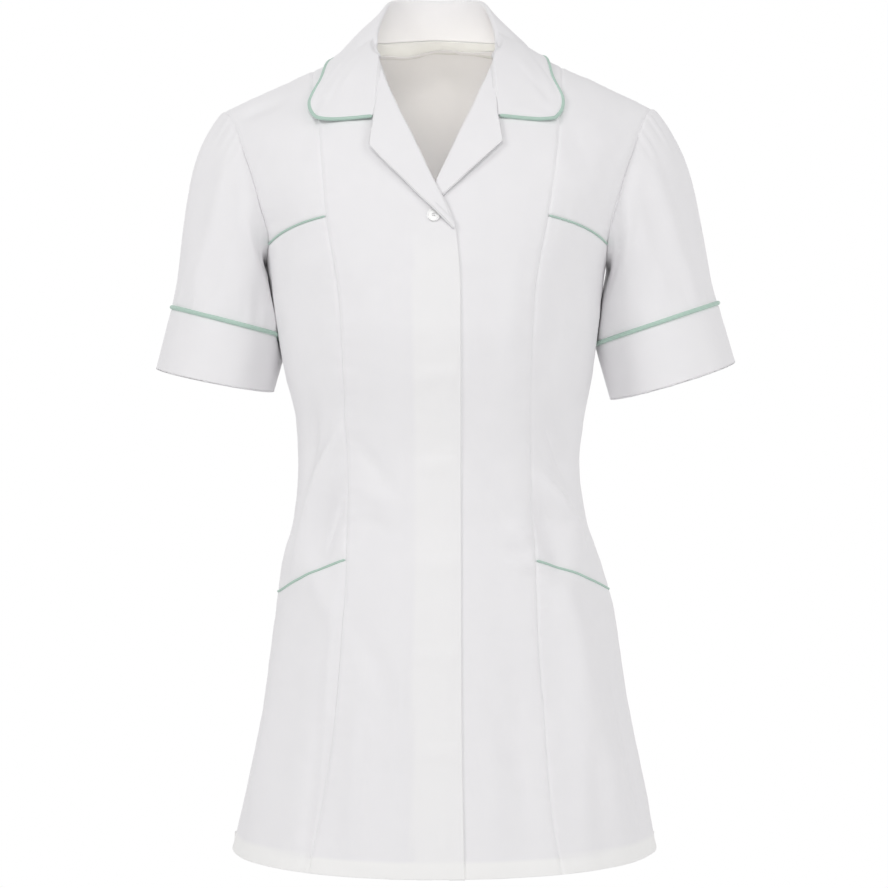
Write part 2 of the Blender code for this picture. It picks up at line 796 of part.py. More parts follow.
def add_button(name):
    x, z = BUTTON_PLACE
    seat, out = on_body(x, z, FRONT, right_front_lift(x, z) + WALL / 2 + SEAM)
    bm = bmesh.new()
    bmesh.ops.create_cone(
        bm,
        cap_ends=True,
        segments=28,
        radius1=BUTTON_RADIUS,
        radius2=BUTTON_RADIUS,
        depth=BUTTON_HEIGHT,
    )
    rims = [edge for edge in bm.edges if abs(edge.verts[0].co.z - edge.verts[1].co.z) < 1e-9]
    bmesh.ops.bevel(
        bm, geom=rims, offset=0.5 * MM, affect="EDGES", segments=2, profile=0.5, material=-1
    )
    turn = Vector((0, 0, 1)).rotation_difference(out).to_matrix()
    for vert in bm.verts:
        vert.co = turn @ (vert.co + Vector((0, 0, BUTTON_HEIGHT / 2))) + seat
    mesh = bpy.data.meshes.new(name)
    bm.to_mesh(mesh)
    bm.free()
    mesh.shade_smooth()
    add_object(name, mesh, BUTTON_WHITE, 0.4)


def build():
    for old in list(bpy.data.objects):
        bpy.data.objects.remove(old)
    add_back_upper("back_upper")
    add_back_lower("back_lower")
    for side, hand in HANDS:
        add_front(side, f"front_{hand}")
        add_side_front_upper(side, f"side_front_upper_{hand}")
        add_side_front_middle(side, f"side_front_middle_{hand}")
        add_side_front_lower(side, f"side_front_lower_{hand}")
        add_sleeve(side, f"sleeve_{hand}")
        add_cuff(side, f"cuff_{hand}")
        add_piping_on_cuff(side, f"piping_cuff_{hand}")
        add_revere(side, f"revere_{hand}")
        last = side_share(side, abs(bust_end[side].x), bust_end[side].z) - 0.01
        add_piping_on_body(side, f"piping_bust_{hand}", bust_seam, last)
        add_piping_on_body(side, f"piping_pocket_{hand}", pocket_line, 0.985)
    add_collar("collar")
    add_piping_on_collar("piping_collar")
    add_neck_tape("neck_tape")
    add_button("button")


build()
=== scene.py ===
from math import cos, pi, radians, sin

import bmesh
import bpy
import numpy as np
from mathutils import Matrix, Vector


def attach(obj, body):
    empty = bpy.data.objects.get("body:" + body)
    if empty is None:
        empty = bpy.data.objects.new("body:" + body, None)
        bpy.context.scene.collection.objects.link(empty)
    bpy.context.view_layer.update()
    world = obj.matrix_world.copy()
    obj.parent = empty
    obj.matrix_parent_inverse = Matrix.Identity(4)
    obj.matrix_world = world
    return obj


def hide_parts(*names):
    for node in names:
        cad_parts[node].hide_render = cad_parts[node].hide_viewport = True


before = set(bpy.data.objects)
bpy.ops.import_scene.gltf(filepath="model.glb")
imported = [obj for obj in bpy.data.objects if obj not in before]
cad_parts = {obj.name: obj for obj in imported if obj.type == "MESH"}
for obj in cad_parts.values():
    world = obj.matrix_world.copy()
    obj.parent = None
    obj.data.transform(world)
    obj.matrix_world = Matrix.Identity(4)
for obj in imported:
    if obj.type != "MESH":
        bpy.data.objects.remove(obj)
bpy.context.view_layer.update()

mm = 0.001
frontFace, backFace = -1, 1
rightHand, leftHand = -1, 1  # the wearer's
hands = ((rightHand, "right"), (leftHand, "left"))
handName = dict(hands)
ply = 0.6 * mm  # thickness of one layer of the cloth
outer = 0.7 * mm  # how far the outside of a panel stands off the middle of its solid


def table(columns, *rows):  # named columns in millimetres, kept in metres
    return dict(zip(columns.split(), np.array(rows, float).T * mm))


def curveAt(place, levels, values):  # a smooth curve through a column, which never overshoots its rows
    order = np.argsort(levels)
    x, y = levels[order], values[order]
    span = np.diff(x)
    rise = np.diff(y) / span
    slope = np.zeros_like(y)
    slope[0], slope[-1] = rise[0], rise[-1]
    inner = np.flatnonzero(rise[:-1] * rise[1:] > 0)
    before, after = span[inner], span[inner + 1]
    slope[inner + 1] = (before + after) / (before / rise[inner] + after / rise[inner + 1])
    place = np.clip(place, x[0], x[-1])
    i = np.clip(np.searchsorted(x, place, side="right") - 1, 0, len(span) - 1)
    t = (place - x[i]) / span[i]
    lean = t * (1 - t) * span[i] * ((1 - t) * slope[i] - t * slope[i + 1])
    return y[i] + (y[i + 1] - y[i]) * t * t * (3 - 2 * t) + lean


def smoothStep(start, end, value):
    t = np.clip((value - start) / (end - start), 0, 1)
    return t * t * (3 - 2 * t)


def mix(a, b, t):
    return a + (b - a) * t


def bell(distance, width):
    return np.exp(-(distance / width) ** 2)


def unit(vectors):
    return vectors / np.maximum(np.linalg.norm(vectors, axis=-1, keepdims=True), 1e-12)


def dot(a, b):
    return (a * b).sum(axis=-1, keepdims=True)


def point(x, y, z):
    return np.stack(np.broadcast_arrays(x, y, z), axis=-1).astype(float)


def waves(a, b, length, seed, count=7):  # an even, soft unevenness between about -1 and 1
    rng = np.random.RandomState(seed)
    total = 0
    for _ in range(count):
        angle, phase, pace = rng.uniform(0, pi), rng.uniform(0, 2 * pi), rng.uniform(0.6, 1.7)
        total = total + np.sin((a * cos(angle) + b * sin(angle)) * 2 * pi * pace / length + phase)
    return total / count ** 0.5


def ripple(along, length, seed):  # the same along one line only
    return waves(along, 0, length, seed)


# the worn form of the tunic's body, which every panel lies on
body = {
    "peak": 26 * mm, "slope": 0.45, "round": 15 * mm, "tip": 193 * mm, "shift": 3 * mm,
    "frontTurn": 120 * mm, "backTurn": 50 * mm, "roundness": 2.4, "underarm": -200 * mm,
    "hem": -727 * mm, "hemDip": 4 * mm, "hemHalf": 190 * mm, "thinnest": 0.15 * mm,
    "levels": table(
        "level right left front back",
        (40, 240, 240, 62, 84),
        (0, 230, 230, 72, 88),
        (-50, 213, 213, 85, 97),
        (-90, 198, 198, 97, 102),
        (-124, 183.5, 183.5, 106, 104),
        (-153, 171, 171, 115, 104),
        (-184, 156.5, 155.5, 122, 102),
        (-212, 151.7, 147.5, 126.5, 99),
        (-258, 144.5, 142.7, 127, 94),
        (-300, 136.5, 137.5, 120.5, 90),
        (-340, 127.5, 130.3, 111, 87),
        (-380, 125.3, 125.6, 105, 87),
        (-425, 129, 131, 105, 93),
        (-469, 140, 145.5, 109.5, 103),
        (-512, 145.5, 157.5, 114.5, 110),
        (-588, 156, 168.8, 122, 119),
        (-674, 173, 186.5, 130, 128),
        (-735, 187, 197, 135, 133),
    ),
}


def shoulderAt(x):
    return body["peak"] - body["slope"] * np.hypot(x - body["shift"], body["round"])


def shoulderBow(start, end, t):  # the shoulder line above its chord between two places
    return shoulderAt(mix(start, end, t)) - mix(shoulderAt(start), shoulderAt(end), t)


def hemAt(x):
    return body["hem"] + body["hemDip"] * np.minimum(np.abs(x) / body["hemHalf"], 1) ** 2


def columnAt(rows, name, z):
    return curveAt(z, rows["level"], rows[name])


def halfWidth(side, z):
    return columnAt(body["levels"], handName[side], z)


def halfWidthAt(x, z):  # that of the side where x lies
    return np.where(x < 0, halfWidth(rightHand, z), halfWidth(leftHand, z))


def fullness(x, z, face):
    across = 1 - (np.abs(x) / halfWidthAt(x, z)) ** body["roundness"]
    turn = np.where(face < 0, body["frontTurn"], body["backTurn"])
    over = np.maximum(0, 1 - (shoulderAt(x) - z) / turn)
    share = across * (1 - over * over)
    return np.where((across < 0) & (over > 1), -share, share)


def depthAt(z, face):
    front, back = (columnAt(body["levels"], name, z) for name in ("front", "back"))
    return np.where(face < 0, front, back)


def outsideBody(at):  # below 0 inside the body's form, 0 on it and above 0 outside
    x, y, z = at[..., 0], at[..., 1], at[..., 2]
    return (y / depthAt(z, y)) ** 2 - fullness(x, z, y)


def slopeOf(at):
    step = 0.02 * mm
    axes = np.eye(3) * step
    return np.stack([(outsideBody(at + a) - outsideBody(at - a)) / (2 * step) for a in axes], axis=-1)


def keptClear(at, margin):  # moved out where a point is nearer to the body than the margin
    for _ in range(4):
        slope = slopeOf(at)
        size = np.linalg.norm(slope, axis=-1)
        short = np.maximum(margin - outsideBody(at) / size, 0)
        at = at + slope / size[..., None] * short[..., None]
    return at


# creases of the tunic: soft ridges, or troughs where the height is below zero. They run from x0, z0 to
# x1, z1 in millimetres, bend to one side at the middle, and skew makes one flank steeper
creases = {
    "columns": "x0 z0 x1 z1 width height bend skew".split(),
    frontFace: (
        # the waist and the skirt's largest folds
        (-86, -350, -124, -464, 6, 9.2, 2, -0.2),
        (-86, -398, -104, -462, 7.5, -8.6, 0, 0),
        (-108, -336, -122, -428, 6, -8.4, 2, 0),
        (92, -392, 126, -456, 7, 9, -3, 0.3),
        (92, -332, 116, -396, 7.5, -6.5, 0, 0),
        (84, -410, 108, -478, 9, -5.5, -2, 0),
        (-176, -72, -138, -58, 6, -3.5, 0, 0),
        (-134, -510, -164, -712, 13, 7.5, 2, 0),
        (112, -510, 162, -706, 14, 7.7, -2, 0),
        (150, -560, 186, -715, 7, -4, 0, 0),
        (-88, -490, -108, -712, 4, 1.8, 0, 0),
        # bust to waist
        (104, -222, 86, -322, 9, -2.6, -4, 0.2),
        (66, -210, 60, -330, 11, 1.8, 3, 0),
        (-50, -200, -58, -320, 12, 1.6, 3, 0),
        (-100, -208, -118, -300, 9, -2.0, 3, 0),
        (-34, -178, -40, -290, 8, -1.2, 2, 0),
        (-122, -196, -130, -262, 7, 1.9, 2, 0),
        (122, -194, 128, -262, 7, 1.8, -2, 0),
        # small pulls at the waist seams
        (-70, -398, -40, -414, 6, 1.2, 0, 0),
        (-74, -354, -36, -404, 7, -2.0, 0, 0),
        (28, -382, 70, -436, 8, -2.0, 0, 0),
        (36, -560, 80, -668, 9, -2.2, 0, 0),
        (-70, -512, -28, -612, 9, -2.2, 0, 0),
        (-66, -424, -36, -436, 6, -1.1, 0, 0),
        (62, -430, 78, -446, 5, 2.6, 0, 0),
        (58, -448, 76, -458, 4, -2.2, 0, 0),
        (60, -462, 77, -470, 4, 2.2, 0, 0),
        (-112, -470, -86, -520, 9, 2.9, 0, 0),
        (104, -476, 128, -540, 10, 3.4, 0, 0),
        # soft hanging folds of the skirt
        (-62, -560, -72, -716, 10, 3.8, 2, 0),
        (-96, -590, -112, -716, 8, -3.6, 1, 0),
        (66, -540, 78, -716, 11, -3.1, 1, 0),
        (116, -540, 128, -716, 10, 3.6, -1, 0),
        (-30, -520, -34, -716, 9, 2.2, 1, 0),
        (44, -600, 50, -716, 9, 2.2, 1, 0),
        # shoulders and chest
        (-176, -96, -150, -150, 7, 1.8, -3, 0),
        (174, -92, 150, -150, 7, 1.6, 3, 0),
        (-96, -66, -132, -128, 10, -1.2, 0, 0),
        (98, -66, 130, -124, 10, -1.1, 0, 0),
    ),
    backFace: (
        (-104, -330, -52, -392, 11, 4.8, 4, 0.2),
        (106, -338, 58, -400, 11, 4.5, -4, 0.2),
        (-96, -540, -124, -705, 18, 6.0, 3, 0),
        (92, -540, 112, -705, 18, 6.0, -3, 0),
        (0, -560, 4, -712, 20, 4.5, 0, 0),
        (-150, -96, -110, -230, 12, 2.8, 6, 0),
        (150, -98, 112, -226, 12, 2.7, -6, 0),
        (-60, -300, -20, -345, 8, 2.4, 3, 0),
        (64, -305, 22, -352, 8, 2.2, -3, 0),
        (-90, -372, -30, -398, 8, -2.7, 3, 0),
        (92, -378, 34, -402, 8, -2.5, -3, 0),
        (-118, -420, -70, -470, 10, 2.5, 4, 0),
        (120, -424, 72, -476, 10, 2.4, -4, 0),
        (10, -120, 4, -300, 14, -2.0, 2, 0),
        (-46, -590, -56, -716, 12, -3.0, 2, 0),
        (48, -590, 56, -716, 12, -3.0, -2, 0),
        (-150, -600, -166, -716, 12, -2.7, 2, 0),
        (152, -600, 168, -716, 12, -2.7, -2, 0),
    ),
    "ripples": ((0.35 * mm, 0.45, 60 * mm, 11), (0.12 * mm, 0.6, 17 * mm, 5)),  # height, lean, length and seed
    "sideFade": (1 * mm, 15 * mm), "skewReach": 3 * mm,
}


def creaseHeight(x, z, face):
    height = sum(size * waves(x, z * lean, length, seed) for size, lean, length, seed in creases["ripples"])
    fromSide = halfWidthAt(x, z) - np.abs(x)
    nearSide = smoothStep(*creases["sideFade"], fromSide)  # no crease parts the two faces at the side seam
    for row in creases[face]:
        crease = dict(zip(creases["columns"], row))
        start = np.array([crease["x0"], crease["z0"]]) * mm
        run = np.array([crease["x1"], crease["z1"]]) * mm - start
        size = np.hypot(*run)
        fromX, fromZ = x - start[0], z - start[1]
        along = (fromX * run[0] + fromZ * run[1]) / size ** 2
        away = (fromX * run[1] - fromZ * run[0]) / size
        away = away - crease["bend"] * mm * (1 - (2 * along - 1) ** 2)
        width = crease["width"] * mm * (1 + crease["skew"] * np.tanh(away / creases["skewReach"]))
        ends = smoothStep(-0.25, 0.35, along) * smoothStep(1.25, 0.65, along)
        height = height + crease["height"] * mm * ends * nearSide * bell(away, width)
    return height


def onBody(x, z, face, lift=0.0, creased=True):
    z = np.minimum(z, shoulderAt(x) - 1e-6)
    depth = depthAt(z, face) * np.sqrt(np.maximum(fullness(x, z, face), 0))
    at = point(x, face * np.maximum(depth, body["thinnest"]), z)
    out = unit(slopeOf(at))
    lift = lift + (creaseHeight(x, z, face) if creased else 0)
    return at + out * np.asarray(lift)[..., None], out


# seams that the panels share
princess = table(
    "level right left",
    (0, 112, 111), (-24, 112, 110), (-95, 103, 104), (-165, 96, 94), (-240, 84.5, 81.5),
    (-330, 80, 79), (-385, 78, 80), (-465, 79, 83.5), (-527, 82.7, 85.5), (-600, 89.3, 91),
    (-665, 99, 95.5), (-735, 112, 106),
)
frontEdge = table(
    "level right left",
    (1, -66, 62), (-10, -60.5, 56.5), (-26, -51, 47.5), (-60, -39.5, 34), (-98, -21, 16),
    (-139, -3, -3), (-166, 10.6, -14), (-186, 15.8, -17.5), (-230, 18.8, -18),
    (-585, 19.9, -18), (-735, 22.3, -18),
)
seams = {
    "princessTop": -24 * mm, "bustStart": 96 * mm, "bustTop": -166 * mm, "bustFall": 11 * mm,
    "pocketStart": 80 * mm, "pocketTop": -460.5 * mm, "pocketWidth": 65 * mm,
    "pocketFall": {rightHand: (22, 12), leftHand: (13, 13)},
    "bustTurn": 11 / 14 * pi,  # where the bust seam runs into the armhole
    "dip": 0.9 * mm, "dipWidth": 1.7 * mm, "pucker": 0.28 * mm, "puckerStart": 2.5 * mm,
    "puckerReach": 9 * mm, "puckerLength": 11 * mm, "groupLength": 90 * mm,
}
lap = {
    "lift": 1.9 * mm, "start": -62 * mm, "full": -30 * mm,
    "overRevere": 2.3 * mm, "revereLevel": -146 * mm, "revereReach": 24 * mm,
}
armholes = {frontFace: (50 * mm, 0.25), backFace: (54 * mm, 0.1)}


def princessAt(side, z):
    return columnAt(princess, handName[side], z)


def frontEdgeAt(side, z):
    return columnAt(frontEdge, handName[side], z)


def armhole(side, face, turn):  # turn runs from 0 at the shoulder tip to pi at the underarm
    depth, lean = armholes[face]
    turn = np.asarray(turn, float)
    top = shoulderAt(side * body["tip"])
    z = mix(top, body["underarm"], (1 - np.cos(turn)) / 2)
    y = face * np.maximum(depth * np.sin(turn) * (1 - lean * np.cos(turn)), body["thinnest"] / 2)
    low, high = np.full_like(z, 0.1), np.full_like(z, 0.2)
    for _ in range(30):
        x = (low + high) / 2
        inside = outsideBody(point(side * x, y, z)) < 0
        low, high = np.where(inside, x, low), np.where(inside, high, x)
    return point(side * x, y, z)


def armholeTurn(side, z):
    top = shoulderAt(side * body["tip"])
    return pi - 2 * np.arcsin(np.sqrt(np.clip((z - body["underarm"]) / (top - body["underarm"]), 0, 1)))


bustEnd = {side: armhole(side, frontFace, seams["bustTurn"]) for side, _ in hands}


def bustSeam(side, x):
    end = bustEnd[side]
    t = (x - seams["bustStart"]) / (abs(end[0]) - seams["bustStart"])
    fall = seams["bustFall"]
    return seams["bustTop"] - fall * t + (end[2] - seams["bustTop"] + fall) * t ** 3


def pocketLine(side, x):
    t = (x - seams["pocketStart"]) / seams["pocketWidth"]
    fall, bend = seams["pocketFall"][side]
    return seams["pocketTop"] - (fall * t + bend * t * t) * mm


def sidePlace(side, share, z):  # share 0 at the princess seam, 1 at the side seam
    half = halfWidth(side, z)
    start = np.arcsin(princessAt(side, z) / half)
    return half * np.sin(mix(start, pi / 2, share))


def sideShare(side, x, z):
    half = halfWidth(side, z)
    start = np.arcsin(princessAt(side, z) / half)
    return (np.arcsin(np.minimum(x / half, 1)) - start) / (pi / 2 - start)


def seamLevel(side, share, heightAt):
    z = heightAt(side, seams["pocketStart"]) + 0 * share
    for _ in range(10):
        z = heightAt(side, sidePlace(side, share, z))
    return z


def seamDip(distance, along, seed):  # the cloth drawn in at a seam, with its uneven small puckers
    away = np.maximum(distance, 0)
    start = seams["puckerStart"]
    groups = smoothStep(-0.6, 0.9, ripple(along, seams["groupLength"], seed + 1))
    ridges = ripple(along, seams["puckerLength"], seed) * (0.4 + 0.6 * groups)
    reach = bell(away - start, seams["puckerReach"]) * smoothStep(0, start, away)
    return -seams["dip"] * bell(away, seams["dipWidth"]) + seams["pucker"] * ridges * reach


def lapLift(x, z):  # the right front stands out over the left one, a little more over the left revere
    overRevere = lap["overRevere"] * bell(z - lap["revereLevel"], lap["revereReach"])
    return smoothStep(lap["start"], lap["full"], x) * (lap["lift"] + overRevere)


def spread(count, tight=0.8, end="both"):  # even steps from 0 to 1, closer together at one end or both
    t = np.linspace(0, 1, count + 1)
    if end == "both":
        return t - tight * np.sin(2 * pi * t) / (2 * pi)
    return t - tight * np.sin(pi * t) / pi * (1 if end == "start" else -1)


def turnedEdge(radius, depth):  # steps round a folded edge: way in from the edge, and lift
    angles = np.linspace(0, pi, 8)
    way = np.append(radius - radius * np.sin(angles), radius + depth * np.array([0.15, 0.5, 1.0]))
    lift = np.append(radius * np.cos(angles) - radius, [-2 * radius] * 3)
    return way, lift


def measured(at):  # widest row and longest column of a grid of places
    rows = np.linalg.norm(np.diff(at, axis=1), axis=-1).sum(axis=1)
    columns = np.linalg.norm(np.diff(at, axis=0), axis=-1).sum(axis=0)
    return rows.max(), columns.max()


def finish(obj, slot, *nodes):
    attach(obj, "root")
    if nodes:
        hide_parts(*nodes)
    return obj


def linked(name, data):
    obj = bpy.data.objects.new(name, data)
    bpy.context.scene.collection.objects.link(obj)
    return obj


def meshOf(name, bm, material=None):
    mesh = bpy.data.meshes.new(name)
    bm.to_mesh(mesh)
    bm.free()
    mesh.shade_smooth()
    if material:
        mesh.materials.append(material)
    return mesh


def cutOf(at, turning):  # flat width, length and area of a grid of places, with a turning on each side
    width, length = (size + 2 * turning for size in measured(at))
    a, b = np.diff(at, axis=1)[:-1], np.diff(at, axis=0)[:, :-1]
    turnings = 1.6 * turning * (width + length)  # a shaped outline is shorter than its rectangle's
    area = np.linalg.norm(np.cross(a, b), axis=-1).sum() + turnings
    return width, length, min(area, width * length)


def clothPiece(name, at, out, material, wall=ply, wrap=False, solid=True, layers=0.0, turning=10 * mm):
    rows, columns = at.shape[:2]
    width, length = measured(at)
    cutOf(at, turning)
    bm = bmesh.new()
    doubled = bm.verts.layers.float.new("layers")
    bmesh.ops.create_grid(bm, x_segments=columns - 1, y_segments=rows - 1, size=1, calc_uvs=True)
    shares = np.broadcast_to(layers, (rows, columns)).ravel()
    for vert, place, share in zip(bm.verts, at.reshape(-1, 3), shares):
        vert.co = place
        vert[doubled] = share
    weave = bm.loops.layers.uv.verify()
    for face in bm.faces:
        for loop in face.loops:
            loop[weave].uv.x *= width
            loop[weave].uv.y *= length
    bm.normal_update()
    facing = sum(vert.normal.dot(Vector(o)) for vert, o in zip(bm.verts, out.reshape(-1, 3)))
    if facing < 0:
        bmesh.ops.reverse_faces(bm, faces=bm.faces)
    if wrap:
        bmesh.ops.remove_doubles(bm, verts=bm.verts, dist=1e-6)
    obj = linked(name, meshOf(name, bm, material))
    if solid:
        shell = obj.modifiers.new("ply", "SOLIDIFY")
        shell.thickness = wall
        shell.offset = -1
    print("cloth:", name, round(width, 3), "by", round(length, 3), "m,", len(obj.data.polygons), "faces")
    return obj


def tubePiece(name, path, up, radius, closed=False):  # a corded piping, tapered in at its ends
    path, up = np.asarray(path), unit(np.asarray(up))
    if closed:
        tangent = unit(np.roll(path, -1, axis=0) - np.roll(path, 1, axis=0))
        path, up, tangent = (np.vstack([line, line[:1]]) for line in (path, up, tangent))
    else:
        tangent = unit(np.gradient(path, axis=0))
    size = np.ones(len(path))
    if not closed:
        size[[0, -1]], size[[1, -2]] = 0.02, 0.8
    side = unit(np.cross(tangent, up))
    up = np.cross(side, tangent)
    angle = np.linspace(0, 2 * pi, piping["around"] + 1)[None, :, None]
    out = side[:, None] * np.cos(angle) + up[:, None] * np.sin(angle)
    at = path[:, None] + out * (radius * size[:, None, None])
    return clothPiece(name, at, out, mint, wrap=True, solid=False)


def resampled(path, step, *others):  # even steps along a line of places
    along = np.append(0, np.cumsum(np.linalg.norm(np.diff(path, axis=0), axis=1)))
    count = max(int(along[-1] / step), 2)
    places = np.linspace(0, along[-1], count + 1)
    return [np.stack([np.interp(places, along, axis) for axis in line.T], axis=1) for line in (path, *others)]


def stitchRow(bm, path, out):  # a row of short threads that follows the cloth
    path, out = resampled(path, stitch["pitch"], out)
    for a, b, up in zip(path, path[1:], out):
        run = Vector(b - a)
        turn = run.to_track_quat("X", "Z").to_matrix()
        size = Vector((run.length * stitch["share"] / 2, stitch["radius"], stitch["radius"] * 0.8))
        centre = Vector((a + b) / 2 + up * stitch["lift"])
        made = bmesh.ops.create_uvsphere(bm, u_segments=6, v_segments=4, radius=1)["verts"]
        for vert in made:  # the sphere's poles are turned to the thread's ends
            vert.co = turn @ Vector((vert.co.z * size.x, vert.co.y * size.y, vert.co.x * size.z)) + centre


def stitchPiece(name, rows):
    bm = bmesh.new()
    for path, out in rows:
        stitchRow(bm, path, out)
    bmesh.ops.recalc_face_normals(bm, faces=bm.faces)
    obj = linked(name, meshOf(name, bm, thread))
    print("stitches:", name, len(obj.data.polygons), "faces")
    return finish(obj, "white_cloth")


# materials
class Value:  # wraps a socket, so that shader maths is written as an expression
    def __init__(self, maker, socket):
        self.maker, self.socket = maker, socket

    def math(self, operation, *others):
        values = {str(i): value for i, value in enumerate([self, *others])}
        return self.maker.node("ShaderNodeMath", {"operation": operation}, **values)

    def __add__(self, other): return self.math("ADD", other)
    def __radd__(self, other): return self.math("ADD", other)
    def __mul__(self, other): return self.math("MULTIPLY", other)
    def __rmul__(self, other): return self.math("MULTIPLY", other)


class Finish:  # a material, and the one method that adds a node to it
    def __init__(self, name, **constants):
        self.material = bpy.data.materials.new(name)
        self.material.use_nodes = True
        self.tree = self.material.node_tree
        self.shader = self.tree.nodes["Principled BSDF"]
        for socket, value in constants.items():
            self.shader.inputs[socket.replace("_", " ")].default_value = value

    def node(self, kind, settings=None, output=0, **inputs):
        made = self.tree.nodes.new(kind)
        for setting, value in (settings or {}).items():
            if setting == "stops":
                for stop, (place, colour) in zip(made.color_ramp.elements, value):
                    stop.position, stop.color = place, colour
            else:
                setattr(made, setting, value)
        for socket, value in inputs.items():
            target = made.inputs[int(socket) if socket.isdigit() else socket.replace("_", " ")]
            if isinstance(value, Value):
                self.tree.links.new(value.socket, target)
            else:
                target.default_value = value
        return Value(self, made.outputs[output])

    def feed(self, socket, value):
        self.tree.links.new(value.socket, self.shader.inputs[socket])


def blend(made, factor, dark, light):  # a colour between two
    sockets = {"6": dark, "7": light}
    return made.node("ShaderNodeMix", {"data_type": "RGBA"}, output=2, Factor=factor, **sockets)


def wovenFinish(name, look):
    made = Finish(
        name, Roughness=look["roughness"], Sheen_Weight=look["sheen"], Sheen_Roughness=0.5,
        Specular_IOR_Level=0.25,
    )
    uv = made.node("ShaderNodeUVMap", {"uv_map": "UVMap"})
    place = made.node("ShaderNodeTexCoord", output=3)
    threads = 2 * pi / look["thread"]
    across = made.node("ShaderNodeSeparateXYZ", Vector=uv)
    down = Value(made, across.socket.node.outputs[1])
    warp = (across * threads).math("SINE")
    weft = (down * threads).math("SINE")
    twill = ((across + down) * (threads * 0.5)).math("SINE")
    weave = warp * weft * (1 - look["twill"]) + twill * look["twill"]
    cloudy = made.node("ShaderNodeTexNoise", Vector=place, Scale=look["cloudScale"], Detail=5.0)
    drawn = made.node("ShaderNodeMapping", Vector=uv, Scale=(*look["slub"], 1))
    slubs = made.node("ShaderNodeTexNoise", {"noise_dimensions": "2D"}, Vector=drawn, Scale=1.0, Detail=2.0)
    shade = cloudy * 0.6 + slubs * 0.4 + weave * 0.03
    single = blend(made, shade, look["dark"], look["light"])
    layers = made.node("ShaderNodeAttribute", {"attribute_name": "layers"}, output=2)
    made.feed("Base Color", blend(made, layers, single, look["double"]))
    made.feed("Roughness", slubs * 0.12 + (look["roughness"] - 0.06))
    height = weave * look["weaveHeight"] + slubs * look["slubHeight"]
    made.feed("Normal", made.node("ShaderNodeBump", Strength=look["bump"], Distance=1.0, Height=height))
    return made.material


looks = {
    "cloth": {
        "dark": (0.845, 0.838, 0.85, 1), "light": (0.905, 0.895, 0.908, 1), "double": (0.93, 0.925, 0.915, 1),
        "roughness": 0.82, "sheen": 0.12,
        "thread": 0.55 * mm, "twill": 0.35, "cloudScale": 34.0, "slub": (900, 90), "weaveHeight": 0.00003,
        "slubHeight": 0.00008, "bump": 0.6,
    },
    "piping": {
        "dark": (0.41, 0.555, 0.48, 1), "light": (0.53, 0.70, 0.615, 1), "double": (0.53, 0.70, 0.615, 1),
        "roughness": 0.7, "sheen": 0.2,
        "thread": 0.5 * mm, "twill": 0.8, "cloudScale": 60.0, "slub": (1400, 500), "weaveHeight": 0.00006,
        "slubHeight": 0.0001, "bump": 0.7,
    },
    "tape": {
        "dark": (0.72, 0.72, 0.70, 1), "light": (0.82, 0.82, 0.80, 1), "double": (0.82, 0.82, 0.80, 1),
        "roughness": 0.75, "sheen": 0.1,
        "thread": 0.8 * mm, "twill": 0.7, "cloudScale": 40.0, "slub": (700, 700), "weaveHeight": 0.0001,
        "slubHeight": 0.0001, "bump": 0.8,
    },
}
white = wovenFinish("whiteCloth", looks["cloth"])
mint = wovenFinish("mintPiping", looks["piping"])
tapeWhite = wovenFinish("neckTape", looks["tape"])


def threadFinish():
    made = Finish("whiteThread", Roughness=0.55, Sheen_Weight=0.3)
    place = made.node("ShaderNodeTexCoord", output=3)
    twist = made.node("ShaderNodeTexNoise", Vector=place, Scale=3000.0)
    made.feed("Base Color", blend(made, twist, (0.80, 0.80, 0.80, 1), (0.93, 0.93, 0.93, 1)))
    return made.material


thread = threadFinish()


# centre fronts, with the turned hem, the folded front edge and the fly
tightColumns = 0.86  # how much closer together a front's columns lie at its seams
centreFront = {"columns": 44, "rows": 250, "tightTop": 0.12, "edgeRadius": 0.8 * mm, "edgeDepth": 12 * mm}
hem = {
    "depth": 14 * mm, "radius": 0.9 * mm, "step": 0.45 * mm, "dip": 0.5 * mm, "dipWidth": 0.9 * mm,
    "rope": 0.25 * mm, "ropeLength": 12 * mm, "ropeReach": 6 * mm,
}
fly = {
    "stitch": -21 * mm, "groove": 0.45 * mm, "grooveWidth": 1.1 * mm, "rise": 0.5 * mm, "riseAt": 7 * mm,
    "start": -150 * mm, "full": -185 * mm, "buttons": (-302, -379, -464, -541, -622),
    "bulge": 1.1 * mm, "bulgeReach": 8 * mm, "pinch": 0.35 * mm, "pinchAbove": 9 * mm, "pinchWidth": 1.6 * mm,
    "layers": 0.5, "layersStart": -170 * mm, "layersFull": -215 * mm, "stitchTop": -205 * mm,
}


def closerAtTop(share):  # rows lie closer together where the cloth turns over the shoulder
    tight = centreFront["tightTop"]
    return share * share / (share + tight) * (1 + tight)


def hemRelief(x, z):  # the turned hem stands a little proud below its row of stitches
    above, depth = z - hemAt(x), hem["depth"]
    relief = -hem["step"] * smoothStep(depth - 1 * mm, depth + 1.5 * mm, above)
    relief = relief - hem["dip"] * bell(above - depth, hem["dipWidth"])
    rope = ripple(x + above * 0.5, hem["ropeLength"], 41) * smoothStep(0, 3 * mm, above)
    return relief + hem["rope"] * rope * bell(above - depth * 0.55, hem["ropeReach"])


def flyRelief(x, z):  # the row of stitches of the fly, and the hidden buttons under it
    relief = -fly["groove"] * bell(x - fly["stitch"], fly["grooveWidth"])
    relief = relief + fly["rise"] * bell(x - fly["riseAt"], fly["riseAt"])
    band = smoothStep(fly["stitch"], -12 * mm, x) * smoothStep(19 * mm, 12 * mm, x)
    for level in fly["buttons"]:
        above = z - level * mm
        relief = relief + fly["bulge"] * band * bell(above, fly["bulgeReach"])
        relief = relief - fly["pinch"] * band * bell(above - fly["pinchAbove"], fly["pinchWidth"])
    return relief * smoothStep(fly["start"], fly["full"], z)


